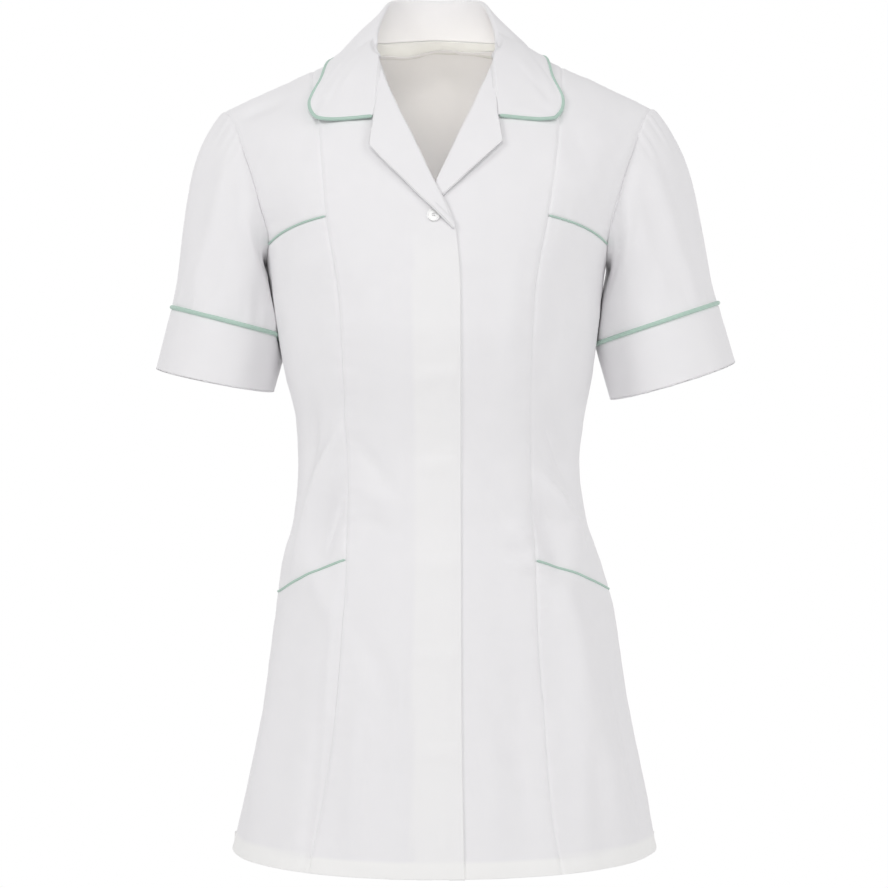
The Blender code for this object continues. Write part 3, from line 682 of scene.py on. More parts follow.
def doubledAt(x, z, side=leftHand):  # where the cloth is doubled: the hem, and the fly of the right front
    share = smoothStep(hem["depth"] + 1 * mm, hem["depth"] - 1 * mm, z - hemAt(x))
    if side == rightHand:
        onFly = smoothStep(fly["stitch"] - 1 * mm, fly["stitch"] + 1 * mm, x)
        below = smoothStep(fly["layersStart"], fly["layersFull"], z)
        share = np.maximum(share, fly["layers"] * onFly * below)
    return share


def addHem(x, z, lift):  # rows that go round the hem's edge and up inside it
    way, turned = turnedEdge(hem["radius"], hem["depth"] - 1 * mm)
    x = np.vstack([x[:-1], np.repeat(x[-1:], len(way), axis=0)])
    z = np.vstack([z[:-1], z[-1:] + way[:, None]])
    lift = np.vstack([lift[:-1], lift[-1:] + turned[:, None]])
    return x, z, lift


def frontPanel(side, hand):
    p = centreFront
    s = closerAtTop(np.linspace(0, 1, p["rows"] + 1))[:, None]
    t = spread(p["columns"], tightColumns)[None, :]
    innerTop = 0.0
    for _ in range(8):  # where the front edge meets the shoulder line
        innerTop = shoulderAt(frontEdgeAt(side, innerTop))
    outerTop = shoulderAt(side * princessAt(side, seams["princessTop"]))
    innerZ, outerZ = mix(innerTop, body["hem"], s), mix(outerTop, body["hem"], s)
    innerX, outerX = frontEdgeAt(side, innerZ), side * princessAt(side, outerZ)
    x = mix(innerX, outerX, t)
    z = mix(innerZ, outerZ, t) + s * (hemAt(x) - body["hem"])
    z = z + shoulderBow(innerX, outerX, t) * (1 - smoothStep(0, 0.2, s))
    lift = outer + seamDip(np.abs(outerX - x), z, 3 + side) + seamDip(shoulderAt(x) - z, x, 7)
    lift = lift + hemRelief(x, z) * smoothStep(0.5, 0.9, s)
    if side == rightHand:
        lift = lift + flyRelief(x, z)
    way, turned = turnedEdge(p["edgeRadius"], p["edgeDepth"])
    keep = np.abs(x[0] - x[0, 0]) > p["edgeRadius"]  # columns past the fold
    edgeZ = np.repeat(z[:, :1], len(way), axis=1)
    x = np.hstack([x[:, :1] + side * way[None, ::-1], x[:, keep]])
    z = np.hstack([edgeZ, z[:, keep]])
    lift = np.hstack([lift[:, :1] + turned[None, ::-1], lift[:, keep]])
    x, z, lift = addHem(x, z, lift)
    if side == rightHand:
        lift = lift + lapLift(x, z)
    at, out = onBody(x, z, frontFace, lift)
    piece = clothPiece(f"front_{hand}_cloth", at, out, white, layers=doubledAt(x, z, side))
    return finish(piece, "white_cloth", f"front_{hand}")


for side, hand in hands:
    frontPanel(side, hand)


# side fronts
sideFront = {
    "columns": 44, "upperRows": 60, "middleRows": 120, "lowerRows": 90,
    "mouthDip": 0.36 * mm, "mouthWidth": 2.5 * mm, "topDip": 0.5 * mm, "topWidth": 1.5 * mm,
    "tuck": ((0.6, 1.0), (4, 2.0), (12, 2.0), (20, 2.0)),  # down and in behind the pocket's mouth, mm
}
piping = {
    "bust": 0.85 * mm, "pocket": 1.05 * mm, "cuff": 1.95 * mm, "collar": 1.6 * mm,
    "step": 1.2 * mm, "around": 14,
}


def upperSideFront(side, hand):
    p = sideFront
    innerTop = shoulderAt(side * princessAt(side, seams["princessTop"]))
    innerLow = bustSeam(side, princessAt(side, seams["bustTop"]))
    turns = spread(p["upperRows"], 0.5, "end") * seams["bustTurn"]
    share = ((1 - np.cos(turns)) / (1 - np.cos(turns[-1])))[:, None]
    edge = armhole(side, frontFace, turns)
    edgeX, edgeZ = np.abs(edge[:, :1]), edge[:, 2:]
    innerZ = mix(innerTop, innerLow, share)
    innerX = princessAt(side, innerZ)
    t = spread(p["columns"], tightColumns)[None, :]
    x = mix(innerX, edgeX, t)
    chord = mix(bustSeam(side, innerX), bustSeam(side, edgeX), t)
    curve = (bustSeam(side, x) - chord) * smoothStep(0.45, 1, share)
    curve = curve + shoulderBow(side * innerX, side * edgeX, t) * (1 - smoothStep(0, 0.3, share))
    z = mix(innerZ, edgeZ, t) + curve
    lift = outer + seamDip(x - innerX, z, 3 + side) + seamDip(edgeX - x, z, 13 + side)
    lift = lift + seamDip(shoulderAt(side * x) - z, x, 7) + seamDip(z - bustSeam(side, x), x, 17 + side)
    at, out = onBody(side * x, z, frontFace, lift)
    piece = clothPiece(f"side_front_upper_{hand}_cloth", at, out, white)
    return finish(piece, "white_cloth", f"side_front_upper_{hand}")


def middleTop(side, shares):  # the middle side front's top edge: the bust seam, then the armhole
    last = sideShare(side, abs(bustEnd[side][0]), bustEnd[side][2])
    turns = np.linspace(seams["bustTurn"], pi, 60)
    edge = armhole(side, frontFace, turns)
    edgeShare = sideShare(side, np.abs(edge[:, 0]), edge[:, 2])
    edgeShare[-1] = 1
    alongSeam = seamLevel(side, np.minimum(shares, last), bustSeam)
    alongHole = np.interp(shares, edgeShare, edge[:, 2])
    return np.where(shares < last, alongSeam, alongHole)


def middleSideFront(side, hand):
    p = sideFront
    shares = spread(p["columns"], tightColumns)
    top, low = middleTop(side, shares)[None, :], seamLevel(side, shares, pocketLine)[None, :]
    fall = spread(p["middleRows"], 0.7)[:, None]
    z = mix(top, low, fall)
    x = sidePlace(side, shares[None, :], z)
    lift = outer + seamDip(x - princessAt(side, z), z, 3 + side) + seamDip(top - z, x, 19 + side)
    lift = lift - p["mouthDip"] * bell(z - low, p["mouthWidth"])
    below, behind = np.array(p["tuck"]).T[..., None] * mm
    tuckZ = low - below
    x = np.vstack([x, sidePlace(side, shares[None, :], tuckZ)])
    z, lift = np.vstack([z, tuckZ]), np.vstack([lift, lift[-1:] - behind])
    at, out = onBody(side * x, z, frontFace, lift)
    piece = clothPiece(f"side_front_middle_{hand}_cloth", at, out, white)
    return finish(piece, "white_cloth", f"side_front_middle_{hand}")


def lowerSideFront(side, hand):
    p = sideFront
    shares = spread(p["columns"], tightColumns)[None, :]
    top = seamLevel(side, shares, pocketLine)
    fall = spread(p["lowerRows"], 0.6, "start")[:, None]
    z = mix(top, hemAt(sidePlace(side, shares, body["hem"])), fall)
    x = sidePlace(side, shares, z)
    lift = outer + seamDip(x - princessAt(side, z), z, 3 + side) - p["topDip"] * bell(top - z, p["topWidth"])
    lift = lift + hemRelief(x, z) * smoothStep(0.3, 0.7, fall)
    x, z, lift = addHem(x, z, lift)
    at, out = onBody(side * x, z, frontFace, lift)
    piece = clothPiece(f"side_front_lower_{hand}_cloth", at, out, white, layers=doubledAt(x, z))
    return finish(piece, "white_cloth", f"side_front_lower_{hand}")


def bodyPiping(side, name, heightAt, last, radius):
    share = np.linspace(0.004, last, 90)
    z = seamLevel(side, share, heightAt)
    x = sidePlace(side, share, z)
    at, out = onBody(side * x, z, frontFace, radius * 0.6)
    path, up = resampled(at, piping["step"], out)
    piece = tubePiece(f"{name}_cord", path, up, radius)
    return finish(piece, "green_piping", name)


for side, hand in hands:
    upperSideFront(side, hand)
    middleSideFront(side, hand)
    lowerSideFront(side, hand)
    lastShare = sideShare(side, abs(bustEnd[side][0]), bustEnd[side][2]) - 0.006
    bodyPiping(side, f"piping_bust_{hand}", bustSeam, lastShare, piping["bust"])
    bodyPiping(side, f"piping_pocket_{hand}", pocketLine, 0.99, piping["pocket"])


# back
backPanel = {
    "columns": 128, "holeRows": 80, "upperRows": 70, "lowerRows": 110, "waist": -385 * mm, "shift": -2 * mm,
    "sideSeam": (-10 * mm, -60 * mm),  # where its dip sets in below the shoulder
    "neck": table("half depth", (0, 62), (16, 60.5), (31, 55), (45, 43), (53, 35), (61, 12), (64, 0), (230, 0)),
}


def backTop(x):  # the shoulder seams, and between them the neck, just inside the collar's seam
    neck = backPanel["neck"]
    depth = curveAt(np.abs(x - backPanel["shift"]), neck["half"], neck["depth"])
    share = 1 - (np.abs(x) / body["tip"]) ** body["roundness"] * 0.5
    over = np.sqrt(1 - (depth / depthAt(0.0, backFace)) ** 2 / share)
    return shoulderAt(x) - np.maximum(body["backTurn"] * (1 - over), 1e-6)


def backEdge(side, z):
    top = shoulderAt(side * body["tip"])
    turn = armholeTurn(side, np.clip(z, body["underarm"], top))
    hole = np.abs(armhole(side, backFace, turn)[..., 0])
    return np.where(z >= top, body["tip"], np.where(z > body["underarm"], hole, halfWidth(side, z)))


def backEdgeAt(place, z):  # that of the side where the place lies
    return np.where(place < 0, backEdge(rightHand, z), backEdge(leftHand, z))


def backCloth(name, rowsAt):
    p = backPanel
    place = spread(p["columns"], 0.72)[None, :] * 2 - 1
    top, low = backTop(place * body["tip"]), hemAt(place * body["tip"])
    z = rowsAt(top, low)
    edge = backEdgeAt(place, z)
    x = place * edge
    lift = outer + seamDip(edge - np.abs(x), z, 29) * smoothStep(*p["sideSeam"], z)
    lift = lift + seamDip(backTop(x) - z, x, 31)
    lift = lift + seamDip(np.abs(z - p["waist"]), x, 37) + hemRelief(x, z)
    if name == "back_lower":
        x, z, lift = addHem(x, z, lift)
    at, out = onBody(x, z, backFace, lift)
    piece = clothPiece(f"{name}_cloth", at, out, white, layers=doubledAt(x, z))
    return finish(piece, "white_cloth", name)


def upperRows(top, low):  # down to the underarm with the armhole's turn, then on to the waist seam
    tip = shoulderAt(body["tip"])
    holeShare = (tip - body["underarm"]) / (tip - hemAt(body["tip"]))
    turns = np.linspace(0, pi, backPanel["holeRows"])[:, None]
    toHole = mix(top, low, holeShare * (1 - np.cos(turns)) / 2)
    fall = spread(backPanel["upperRows"], 0.6, "end")[1:, None]
    return np.vstack([toHole, mix(toHole[-1:], backPanel["waist"], fall)])


def lowerRows(top, low):  # from the waist seam to the hem
    return mix(backPanel["waist"], low, spread(backPanel["lowerRows"], 0.6, "start")[:, None])


backCloth("back_upper", upperRows)
backCloth("back_lower", lowerRows)


# sleeves and cuffs
sleeve = {
    "columns": 150, "rows": 84, "tilt": {rightHand: radians(14.4), leftHand: radians(18)},
    "clear": 2.4 * mm, "headLow": -95 * mm, "headFade": 40 * mm, "inHole": 0.35 * mm,
    "turningIn": 2.5 * mm, "turningDown": 1.3 * mm, "length": 190 * mm, "innerLength": 170 * mm,
    "round": 55 * mm, "gather": 1.1 * mm, "gatherSteps": (7.5 * mm, 60 * mm), "gatherReach": 0.16,
    "smallGather": 0.5 * mm, "smallSteps": (4.2 * mm, 30 * mm), "ease": 0.45 * mm, "easeStep": 14 * mm,
    "wave": 0.4 * mm, "waveLength": 45 * mm, "fold": 1.6 * mm,
    "pulls": (  # place and lean in radians, first and last share of the length, height in millimetres
        (1.9, 0.9, 0.05, 0.45, 1.2), (2.35, 0.8, 0.1, 0.6, -1.0), (4.3, -0.9, 0.05, 0.5, 1.3),
        (3.9, -0.8, 0.1, 0.6, -1.0), (1.35, -0.5, 0.62, 1.05, 0.9), (2.1, -0.4, 0.6, 1.0, -0.7),
        (4.9, 0.4, 0.6, 1.0, 0.8),
    ),
}
cuff = {
    "rows": 30, "length": 52 * mm, "radius": 0.9 * mm, "depth": 10 * mm, "clear": 3.0 * mm, "wall": 0.7 * mm,
    "wave": 0.5 * mm, "waveLength": 42 * mm, "round": 50 * mm, "seam": 0.9 * mm, "seamAt": 0.5 * mm,
    "seamWidth": 1.5 * mm, "pipeOut": 0.7 * mm,
}
cuffRings = {  # x y z across depth drop in millimetres and tilt in degrees, at the piped seam and at the edge
    rightHand: {
        "seam": (-188.5, 16, -251, 54, 58, 1.2, 14.4),
        "edge": (-202.8, 18, -303.4, 53.2, 59, 3.8, 11.3),
    },
    leftHand: {
        "seam": (197.5, 16, -252, 58, 55, 1, 18.5),
        "edge": (212.9, 18, -303.6, 58.4, 56, 4.4, 16.9),
    },
}


def cuffRing(side, ring, angle):  # the angle is 0 at the outer side and a quarter turn at the front
    x, y, z, across, depth, drop, tilt = cuffRings[side][ring]
    outward = np.array([side * cos(radians(tilt)), 0, sin(radians(tilt))])
    centre = np.array([x, y, z]) * mm
    angle = np.asarray(angle)[..., None]
    forward = np.array([0, -depth, -drop]) * mm  # the front hangs a little lower than the back
    return centre + outward * across * mm * np.cos(angle) + forward * np.sin(angle)


def armholeStart(side, angle):  # place on the armhole, outward, the way into the sleeve, and the turn
    ahead = 0.02
    atFront = angle <= pi
    turn = np.where(atFront, angle, 2 * pi - angle)
    found = []
    for step in (0, ahead, -ahead):
        stepped = np.clip(turn + step, 0, pi)
        front, back = (armhole(side, face, stepped) for face in (frontFace, backFace))
        found.append(np.where(atFront[:, None], front, back))
    start, after, before = found
    out = unit(slopeOf(start))
    intoHole = unit(np.cross(out, after - before)) * np.where(atFront, side, -side)[:, None]
    return start, out, intoHole, turn


def sleeveForm(side, angle, share):
    start, out, intoHole, turn = armholeStart(side, angle)
    tilt = sleeve["tilt"][side]
    axis = np.array([side * sin(tilt), 0, -cos(tilt)])
    low = ((1 - np.cos(turn)) / 2)[:, None]
    start = start + intoHole * sleeve["inHole"]
    leave = intoHole * mix(0.55, 0.0, low) + out * mix(0.12, 1.0, low) + axis * mix(0.75, 0.1, low)
    leave = leave * mix(0.17, 0.045, low)
    end = cuffRing(side, "seam", angle)
    arrive = axis * mix(0.16, 0.10, low)
    t = share[:, None, None]
    at = (
        start * (1 - t) ** 2 * (1 + 2 * t) + leave * t * (1 - t) ** 2
        + end * t * t * (3 - 2 * t) - arrive * t * t * (1 - t)
    )
    belowHead = smoothStep(sleeve["headLow"], sleeve["headLow"] - sleeve["headFade"], at[..., 2])
    margin = sleeve["clear"] * smoothStep(0, 0.16, share)[:, None]
    return keptClear(at, mix(-body["tip"], margin, belowHead))


def tubeOut(at, along):  # outward directions of a tube of places, from the way down at each
    around = at[:, np.r_[1:at.shape[1], 1]] - at[:, np.r_[-2, 0:at.shape[1] - 1]]
    out = unit(np.cross(around, along))
    centre = at.mean(axis=1, keepdims=True)
    return out * np.sign(dot(out, at - centre).mean())


def gathers(around, length, groupLength, seed, low, high):  # ridges that come and go in groups
    return ripple(around, length, seed) * smoothStep(low, high, ripple(around, groupLength, seed + 2))


def sleeveRelief(side, angle, share):
    share, angle = share[:, None], angle[None, :]
    toSeam = 1 - share
    outerSide, around = np.cos(angle), angle * sleeve["round"]
    ridges = gathers(around, *sleeve["gatherSteps"], 61 + side, -0.7, 0.8)
    ridges = ridges * bell(toSeam - 0.03, sleeve["gatherReach"]) * smoothStep(1.0, 0.97, share)
    relief = sleeve["gather"] * ridges * (0.35 + 0.65 * smoothStep(0.2, 0.9, np.abs(outerSide)))
    small = gathers(around, *sleeve["smallSteps"], 67 + side, -0.2, 0.9)
    relief = relief + sleeve["smallGather"] * small * bell(toSeam - 0.035, 0.05) * smoothStep(1.0, 0.985, share)
    ease = ripple(angle * 60 * mm, sleeve["easeStep"], 71) * bell(share - 0.05, 0.09)
    ease = ease * smoothStep(0.1, 0.8, outerSide)
    relief = relief + sleeve["ease"] * ease
    frontFold = mix(0.9, 1.05, share) + 0.12 * np.sin(share * 5)
    fade = smoothStep(0.08, 0.3, share) * smoothStep(1.05, 0.8, share)
    for place, height, width in (
        (frontFold, 1.0, 0.16), (frontFold + 0.34, -0.6, 0.16),
        (2 * pi - 1.0, 0.9, 0.2), (2 * pi - 1.5, -0.7, 0.2),
    ):
        relief = relief + sleeve["fold"] * height * bell(angle - place, width) * fade
    for place, lean, first, last, height in sleeve["pulls"]:
        middle = (first + last) / 2
        fade = bell(share - middle, (last - first) / 2)
        relief = relief + height * mm * bell(angle - place - lean * (share - middle), 0.13) * fade
    length = sleeve["length"] * share
    soft = waves(angle * 50 * mm, length * 0.5, sleeve["waveLength"], 81 + side)
    relief = relief + sleeve["wave"] * soft * smoothStep(0, 0.2, share)
    seam = bell(length, seams["dipWidth"]) + 0.7 * bell(toSeam * sleeve["innerLength"], seams["dipWidth"])
    return relief - seams["dip"] * 0.8 * seam


def sleeveCloth(side, hand):
    angle = np.linspace(0, 2 * pi, sleeve["columns"] + 1)
    share = spread(sleeve["rows"], 0.75)
    at = sleeveForm(side, angle, share)
    out = tubeOut(at, np.gradient(at, axis=0))
    relief = sleeveRelief(side, angle, share)
    relief[:, -1] = relief[:, 0]
    blend = smoothStep(0, 0.25, angle) * smoothStep(2 * pi, 2 * pi - 0.25, angle)
    relief = mix(relief[:, :1], relief, blend[None, :])
    at = at + out * (relief + outer * 0.7)[..., None]
    _, up, intoHole, _ = armholeStart(side, angle)
    inside = at[0] - intoHole * sleeve["turningIn"] - up * sleeve["turningDown"]  # the seam's turning
    at, out = np.vstack([inside[None], at]), np.vstack([out[:1], out])
    at[:, -1] = at[:, 0]
    piece = clothPiece(f"sleeve_{hand}_cloth", at, out, white, wrap=True)
    return finish(piece, "white_cloth", f"sleeve_{hand}")


def cuffForm(side, angle, share):
    seam, edge = cuffRing(side, "seam", angle), cuffRing(side, "edge", angle)
    return keptClear(mix(seam, edge, share[:, None, None]), cuff["clear"])


def cuffCloth(side, hand):
    angle = np.linspace(0, 2 * pi, sleeve["columns"] + 1)
    share = spread(cuff["rows"], 0.7)
    way, turned = turnedEdge(cuff["radius"], cuff["depth"])
    share = np.append(share[:-1], 1 - way / cuff["length"])
    lift = np.append(np.zeros(cuff["rows"]), turned)[:, None]
    at = cuffForm(side, angle, share)
    out = tubeOut(at, cuffForm(side, angle, share + 0.03) - cuffForm(side, angle, share - 0.03))
    a, s = angle[None, :], np.clip(share, 0, 1)[:, None]
    across, forward = np.sin(a) * cuff["round"], np.cos(a) * cuff["round"]
    soft = waves(across, forward, cuff["waveLength"], 91 + side) * smoothStep(0, 0.3, s)
    seam = bell(s * cuff["length"] - cuff["seamAt"], cuff["seamWidth"])
    at = at + out * (outer + lift + cuff["wave"] * soft - cuff["seam"] * seam)[..., None]
    at[:, -1] = at[:, 0]
    piece = clothPiece(f"cuff_{hand}_cloth", at, out, white, wall=cuff["wall"], wrap=True)
    return finish(piece, "white_cloth", f"cuff_{hand}")


def cuffPiping(side, name):
    angle = np.linspace(0, 2 * pi, 261)[:-1]
    at = cuffForm(side, angle, np.array([-0.005]))[0]
    centre = at.mean(axis=0)
    out = unit(at - centre)
    piece = tubePiece(f"{name}_cord", at + out * cuff["pipeOut"], out, piping["cuff"], closed=True)
    return finish(piece, "green_piping", name)


for side, hand in hands:
    sleeveCloth(side, hand)
    cuffCloth(side, hand)
    cuffPiping(side, f"piping_cuff_{hand}")


# collar, from the neck seam up over the fold and down to its piped edge
collar = {
    "across": 150, "shift": -2 * mm, "fold": 1.9 * mm, "bow": 1.0 * mm, "wall": 1.3 * mm, "inside": 0.7 * mm,
    "clearFold": 6 * mm, "clearEdge": 2.4 * mm, "endLift": 1.2 * mm, "foldUp": 0.5 * mm, "edgeDip": 0.5 * mm,
    "outside": 0.7 * mm, "wave": 0.35 * mm, "waveLength": 40 * mm, "pipeOut": 0.9 * mm, "pipeDown": 0.6 * mm,
    "turned": (15, 24), "turning": ((0.9, 0.05), (1.3, 0.5), (2.0, 1.3), (4.5, 2.0)),  # on and down, mm
    "half": table(
        "seam_x seam_y seam_z fold_x fold_y fold_z edge_x edge_y edge_z",
        (0, 60, 11, 0, 51.5, 45.5, 0, 79, -1),
        (31, 53, 8.5, 25, 46, 45, 43, 69, -6),
        (52, 34, 4, 40.5, 32, 41, 74, 43, -11),
        (61, 8, 2, 47, 10, 27, 91, 5, -13),
        (58.5, -15, -4.5, 52, -10, 8, 100, -40, -38),
        (55.5, -29, -11, 53, -26, -7, 109.5, -60, -61),
        (53.5, -36, -15.2, 52.5, -34, -12, 105.5, -73, -74.5),
        (52, -43, -18.7, 51.5, -41, -16, 94, -80, -79.2),
        (50.5, -50, -22.2, 50, -47.5, -20.5, 53.8, -88, -79),
    ),
}


def collarLine(t, part):  # a smooth line through the table's rows, mirrored at the centre back
    rows = np.stack([collar["half"][f"{part}_{axis}"] for axis in "xyz"], axis=1)
    before = rows[1] * (-1, 1, 1)
    after = 2 * rows[-1] - rows[-2]
    rows = np.vstack([before, rows, after])
    place = np.abs(t) * (len(rows) - 3)
    i = np.minimum(place.astype(int), len(rows) - 4)
    s = (place - i)[:, None]
    a, b, c, d = rows[i], rows[i + 1], rows[i + 2], rows[i + 3]
    bend, twist = a - 2.5 * b + 2 * c - d / 2, 1.5 * b - 1.5 * c + (d - a) / 2
    found = b + s * (c - a) / 2 + s ** 2 * bend + s ** 3 * twist
    return found * np.stack([np.sign(t + 1e-12), t * 0 + 1, t * 0 + 1], axis=1) + [collar["shift"], 0, 0]


def collarPlaces(t):
    seam, fold, edge = (collarLine(t, part) for part in ("seam", "fold", "edge"))
    stand = unit(fold - seam)
    away = unit(edge - fold)
    across = unit(away - stand * dot(away, stand))
    radius = collar["fold"] * (1 - 0.6 * smoothStep(0.75, 1, np.abs(t)))[:, None]
    lines = []
    inside = across * collar["inside"]
    for share in np.linspace(0, 1, 12)[:-1]:  # the stand, seen from inside the neck
        lines.append(mix(seam, fold, share) - inside)
    for angle in np.linspace(0, pi, 9)[1:-1]:  # over the fold
        up = stand * sin(angle) * (radius + collar["foldUp"])
        lines.append(fold + across * radius * (1 - cos(angle)) * 1.15 + up - inside)
    start = fold + across * 2 * radius
    for share in spread(40, 0.6, "end"):  # the fall
        place = mix(start, edge, share)
        place = place + np.array([0, 0, collar["bow"] * sin(pi * share)])
        lines.append(keptClear(place, mix(collar["clearFold"], collar["clearEdge"], share)))
    return np.stack(lines)


def withTurnings(at, out):  # the ends of the fall run on to the reveres and under them
    onFall = smoothStep(*collar["turned"], np.arange(len(at)))[:, None]
    ends = []
    for column, before in ((0, 1), (-1, -2)):
        away = unit(at[:, column] - at[:, before])
        up = unit(slopeOf(at[:, column]))
        ends.append([at[:, column] + onFall * (away * way - up * sink) * mm for way, sink in collar["turning"]])
    count = len(collar["turning"])
    return (
        np.hstack([np.stack(ends[0][::-1], axis=1), at, np.stack(ends[1], axis=1)]),
        np.hstack([np.repeat(out[:, :1], count, axis=1), out, np.repeat(out[:, -1:], count, axis=1)]),
    )


def collarCloth():
    t = np.linspace(-1, 1, collar["across"] + 1)
    at = collarPlaces(t)
    out = unit(np.cross(np.gradient(at, axis=0), np.gradient(at, axis=1)))
    out = out * np.sign(dot(out[-10:], slopeOf(at[-10:])).mean())
    rows = np.linspace(0, 1, len(at))[:, None]
    soft = waves(t[None, :] * 0.2, rows * 0.1, collar["waveLength"], 101)
    relief = collar["wave"] * soft * smoothStep(0.3, 0.6, rows) - collar["edgeDip"] * bell(1 - rows, 0.03)
    relief = relief + collar["endLift"] * bell(1 - np.abs(t[None, :]), 0.05) * smoothStep(0.45, 0.9, rows)
    at = at + out * (relief + collar["outside"] * smoothStep(0.35, 0.5, rows))[..., None]
    piece = clothPiece("collar_cloth", *withTurnings(at, out), white, wall=collar["wall"])
    finish(piece, "white_cloth", "collar")
    edge = at[-1]
    alongEdge = unit(np.gradient(edge, axis=0))
    up = unit(slopeOf(edge))
    beyond = unit(np.cross(alongEdge, up))
    beyond = beyond * np.sign(dot(beyond, at[-1] - at[-4]).mean())
    path = edge + beyond * collar["pipeOut"] - up * collar["pipeDown"]
    path, up = resampled(path, piping["step"], up)
    cord = tubePiece("piping_collar_cord", path, up, piping["collar"])
    finish(cord, "green_piping", "piping_collar")


collarCloth()


# reveres, rolled over from inside the front edge
reveres = {
    "rows": 90, "across": 26, "lift": 2.35 * mm, "inside": -1.9 * mm, "wall": 0.55 * mm, "turning": 5 * mm,
    "edgeRadius": 0.6 * mm, "edgeDepth": 5 * mm, "under": 16 * mm, "shortest": 4 * mm,
    "rollSpring": 1.2 * mm, "edgeSpring": 1.6 * mm, "overButton": 2.4 * mm, "buttonReach": 11.5 * mm,
    rightHand: table(
        "rollX rollZ edgeX edgeZ",
        (-50.6, -27, -52, -33), (-47, -39, -53, -60), (-41, -55, -55, -81.5), (-31, -78, -58.7, -107),
        (-17, -107, -42, -126), (-3.5, -138, -21.5, -147.5), (7, -160, -2, -166), (14, -179, 12.8, -180),
    ),
    leftHand: table(
        "rollX rollZ edgeX edgeZ",
        (47.2, -27, 48.4, -33), (43, -38, 49.2, -59), (37, -51, 50.2, -79.5), (29.5, -69, 54.4, -103),
        (19.5, -90, 38, -119), (8, -115, 21, -135.5), (-3, -139, 3, -152), (-8, -150, -6, -155),
    ),
}
buttonAt = (-3.8 * mm, -168.3 * mm)


def revereCloth(side, hand):
    rows = reveres[side]
    last = len(rows["rollX"]) - 1
    along = np.linspace(0, last, reveres["rows"] + 1)
    place = np.arange(last + 1.0)
    rollX, rollZ = (curveAt(along, place, rows[key])[:, None] for key in ("rollX", "rollZ"))
    edgeX, edgeZ = (np.interp(along, place, rows[key])[:, None] for key in ("edgeX", "edgeZ"))
    across = spread(reveres["across"], 0.6)[None, :]
    x, z = mix(rollX, edgeX, across), mix(rollZ, edgeZ, across)
    share = (along / last)[:, None]
    spring = reveres["rollSpring"] + reveres["edgeSpring"] * across
    lift = reveres["lift"] + np.sin(pi * np.minimum(share * 1.15, 1)) * spring
    if side == rightHand:
        fromButton = np.hypot(x - buttonAt[0], z - buttonAt[1])
        lift = lift + reveres["overButton"] * bell(fromButton, reveres["buttonReach"])
    inside = reveres["inside"]
    height = (lift[:, :1] - inside) / 2
    towardsX, towardsZ = x[:, -1:] - x[:, :1], z[:, -1:] - z[:, :1]
    size = np.maximum(np.hypot(towardsX, towardsZ), reveres["shortest"])
    towardsX, towardsZ = towardsX / size, towardsZ / size
    turn = np.linspace(pi, 0, 9)[:-1]
    rollWay = height * (1 - np.sin(turn))
    rollLift = inside + height * (1 + np.cos(turn))
    underWay = height + np.minimum(size, reveres["under"]) * np.array([0.9, 0.5, 0.15])
    firstWay = np.hstack([underWay, rollWay])
    edgeWay, edgeTurn = turnedEdge(reveres["edgeRadius"], reveres["edgeDepth"])
    mainWay = height * (1 - across)
    x = np.hstack([
        rollX + towardsX * firstWay, (x + towardsX * mainWay)[:, 1:-1], x[:, -1:] - towardsX * edgeWay,
    ])
    z = np.hstack([
        rollZ + towardsZ * firstWay, (z + towardsZ * mainWay)[:, 1:-1], z[:, -1:] - towardsZ * edgeWay,
    ])
    lift = np.hstack([
        np.full_like(underWay, inside), rollLift, lift[:, 1:-1], lift[:, -1:] + edgeTurn,
    ])
    if side == rightHand:
        lift = lift + lapLift(x, z)
    at, out = onBody(x, z, frontFace, lift)
    piece = clothPiece(
        f"revere_{hand}_cloth", at, out, white, wall=reveres["wall"], turning=reveres["turning"],
    )
    return finish(piece, "white_cloth", f"revere_{hand}")


for side, hand in hands:
    revereCloth(side, hand)


# tape over the seam of collar and back, inside the neck
tape = {
    "reach": 0.86, "backReach": (0.27, 0.36), "above": 1.6 * mm, "below": 9 * mm, "over": 2 * mm,
    "stand": 1.8 * mm, "side": 1.4 * mm, "lift": -0.95 * mm, "wall": 0.7 * mm, "bow": 1.1 * mm,
    "slack": 0.15 * mm, "slackLength": 14 * mm,
}


def neckTape():
    t = np.linspace(-tape["reach"], tape["reach"], 181)
    seam, fold = collarLine(t, "seam"), collarLine(t, "fold")
    stand = unit(fold - seam)
    inward = unit(np.cross(stand, np.gradient(seam, axis=0)))
    inward = inward * np.sign(dot(inward, -seam * (1, 1, 0)).mean())
    top = seam + stand * tape["above"] + inward * tape["stand"]
    level = np.minimum(seam[:, 2] - tape["below"], backTop(seam[:, 0]) - tape["over"])
    low, _ = onBody(seam[:, 0], level, backFace, tape["lift"])
    # at the sides of the neck it hangs inside the panels
    free = seam + inward * tape["side"] - [0, 0, tape["below"] + tape["over"]]
    low = mix(low, free, smoothStep(*tape["backReach"], np.abs(t))[:, None])
    down = np.linspace(0, 1, 12)[:, None]
    bow = tape["slack"] * waves(t * 0.2, down, tape["slackLength"], 121) + tape["bow"] * np.sin(pi * down)
    at = mix(top, low, down[..., None]) + inward * bow[..., None]
    out = np.broadcast_to(inward, at.shape)
    piece = clothPiece("neck_tape_cloth", at, out, tapeWhite, wall=tape["wall"], turning=0)
    return finish(piece, "neck_tape", "neck_tape")


neckTape()


# top button, partly under the right revere
button = {
    "radius": 5.5 * mm, "height": 1.8 * mm, "edge": 0.4 * mm, "rim": 0.9 * mm, "dish": 0.35 * mm,
    "holes": 4, "hole": 0.55 * mm, "holeOut": 1.15 * mm, "drill": 8 * mm, "above": 0.25 * mm,
}


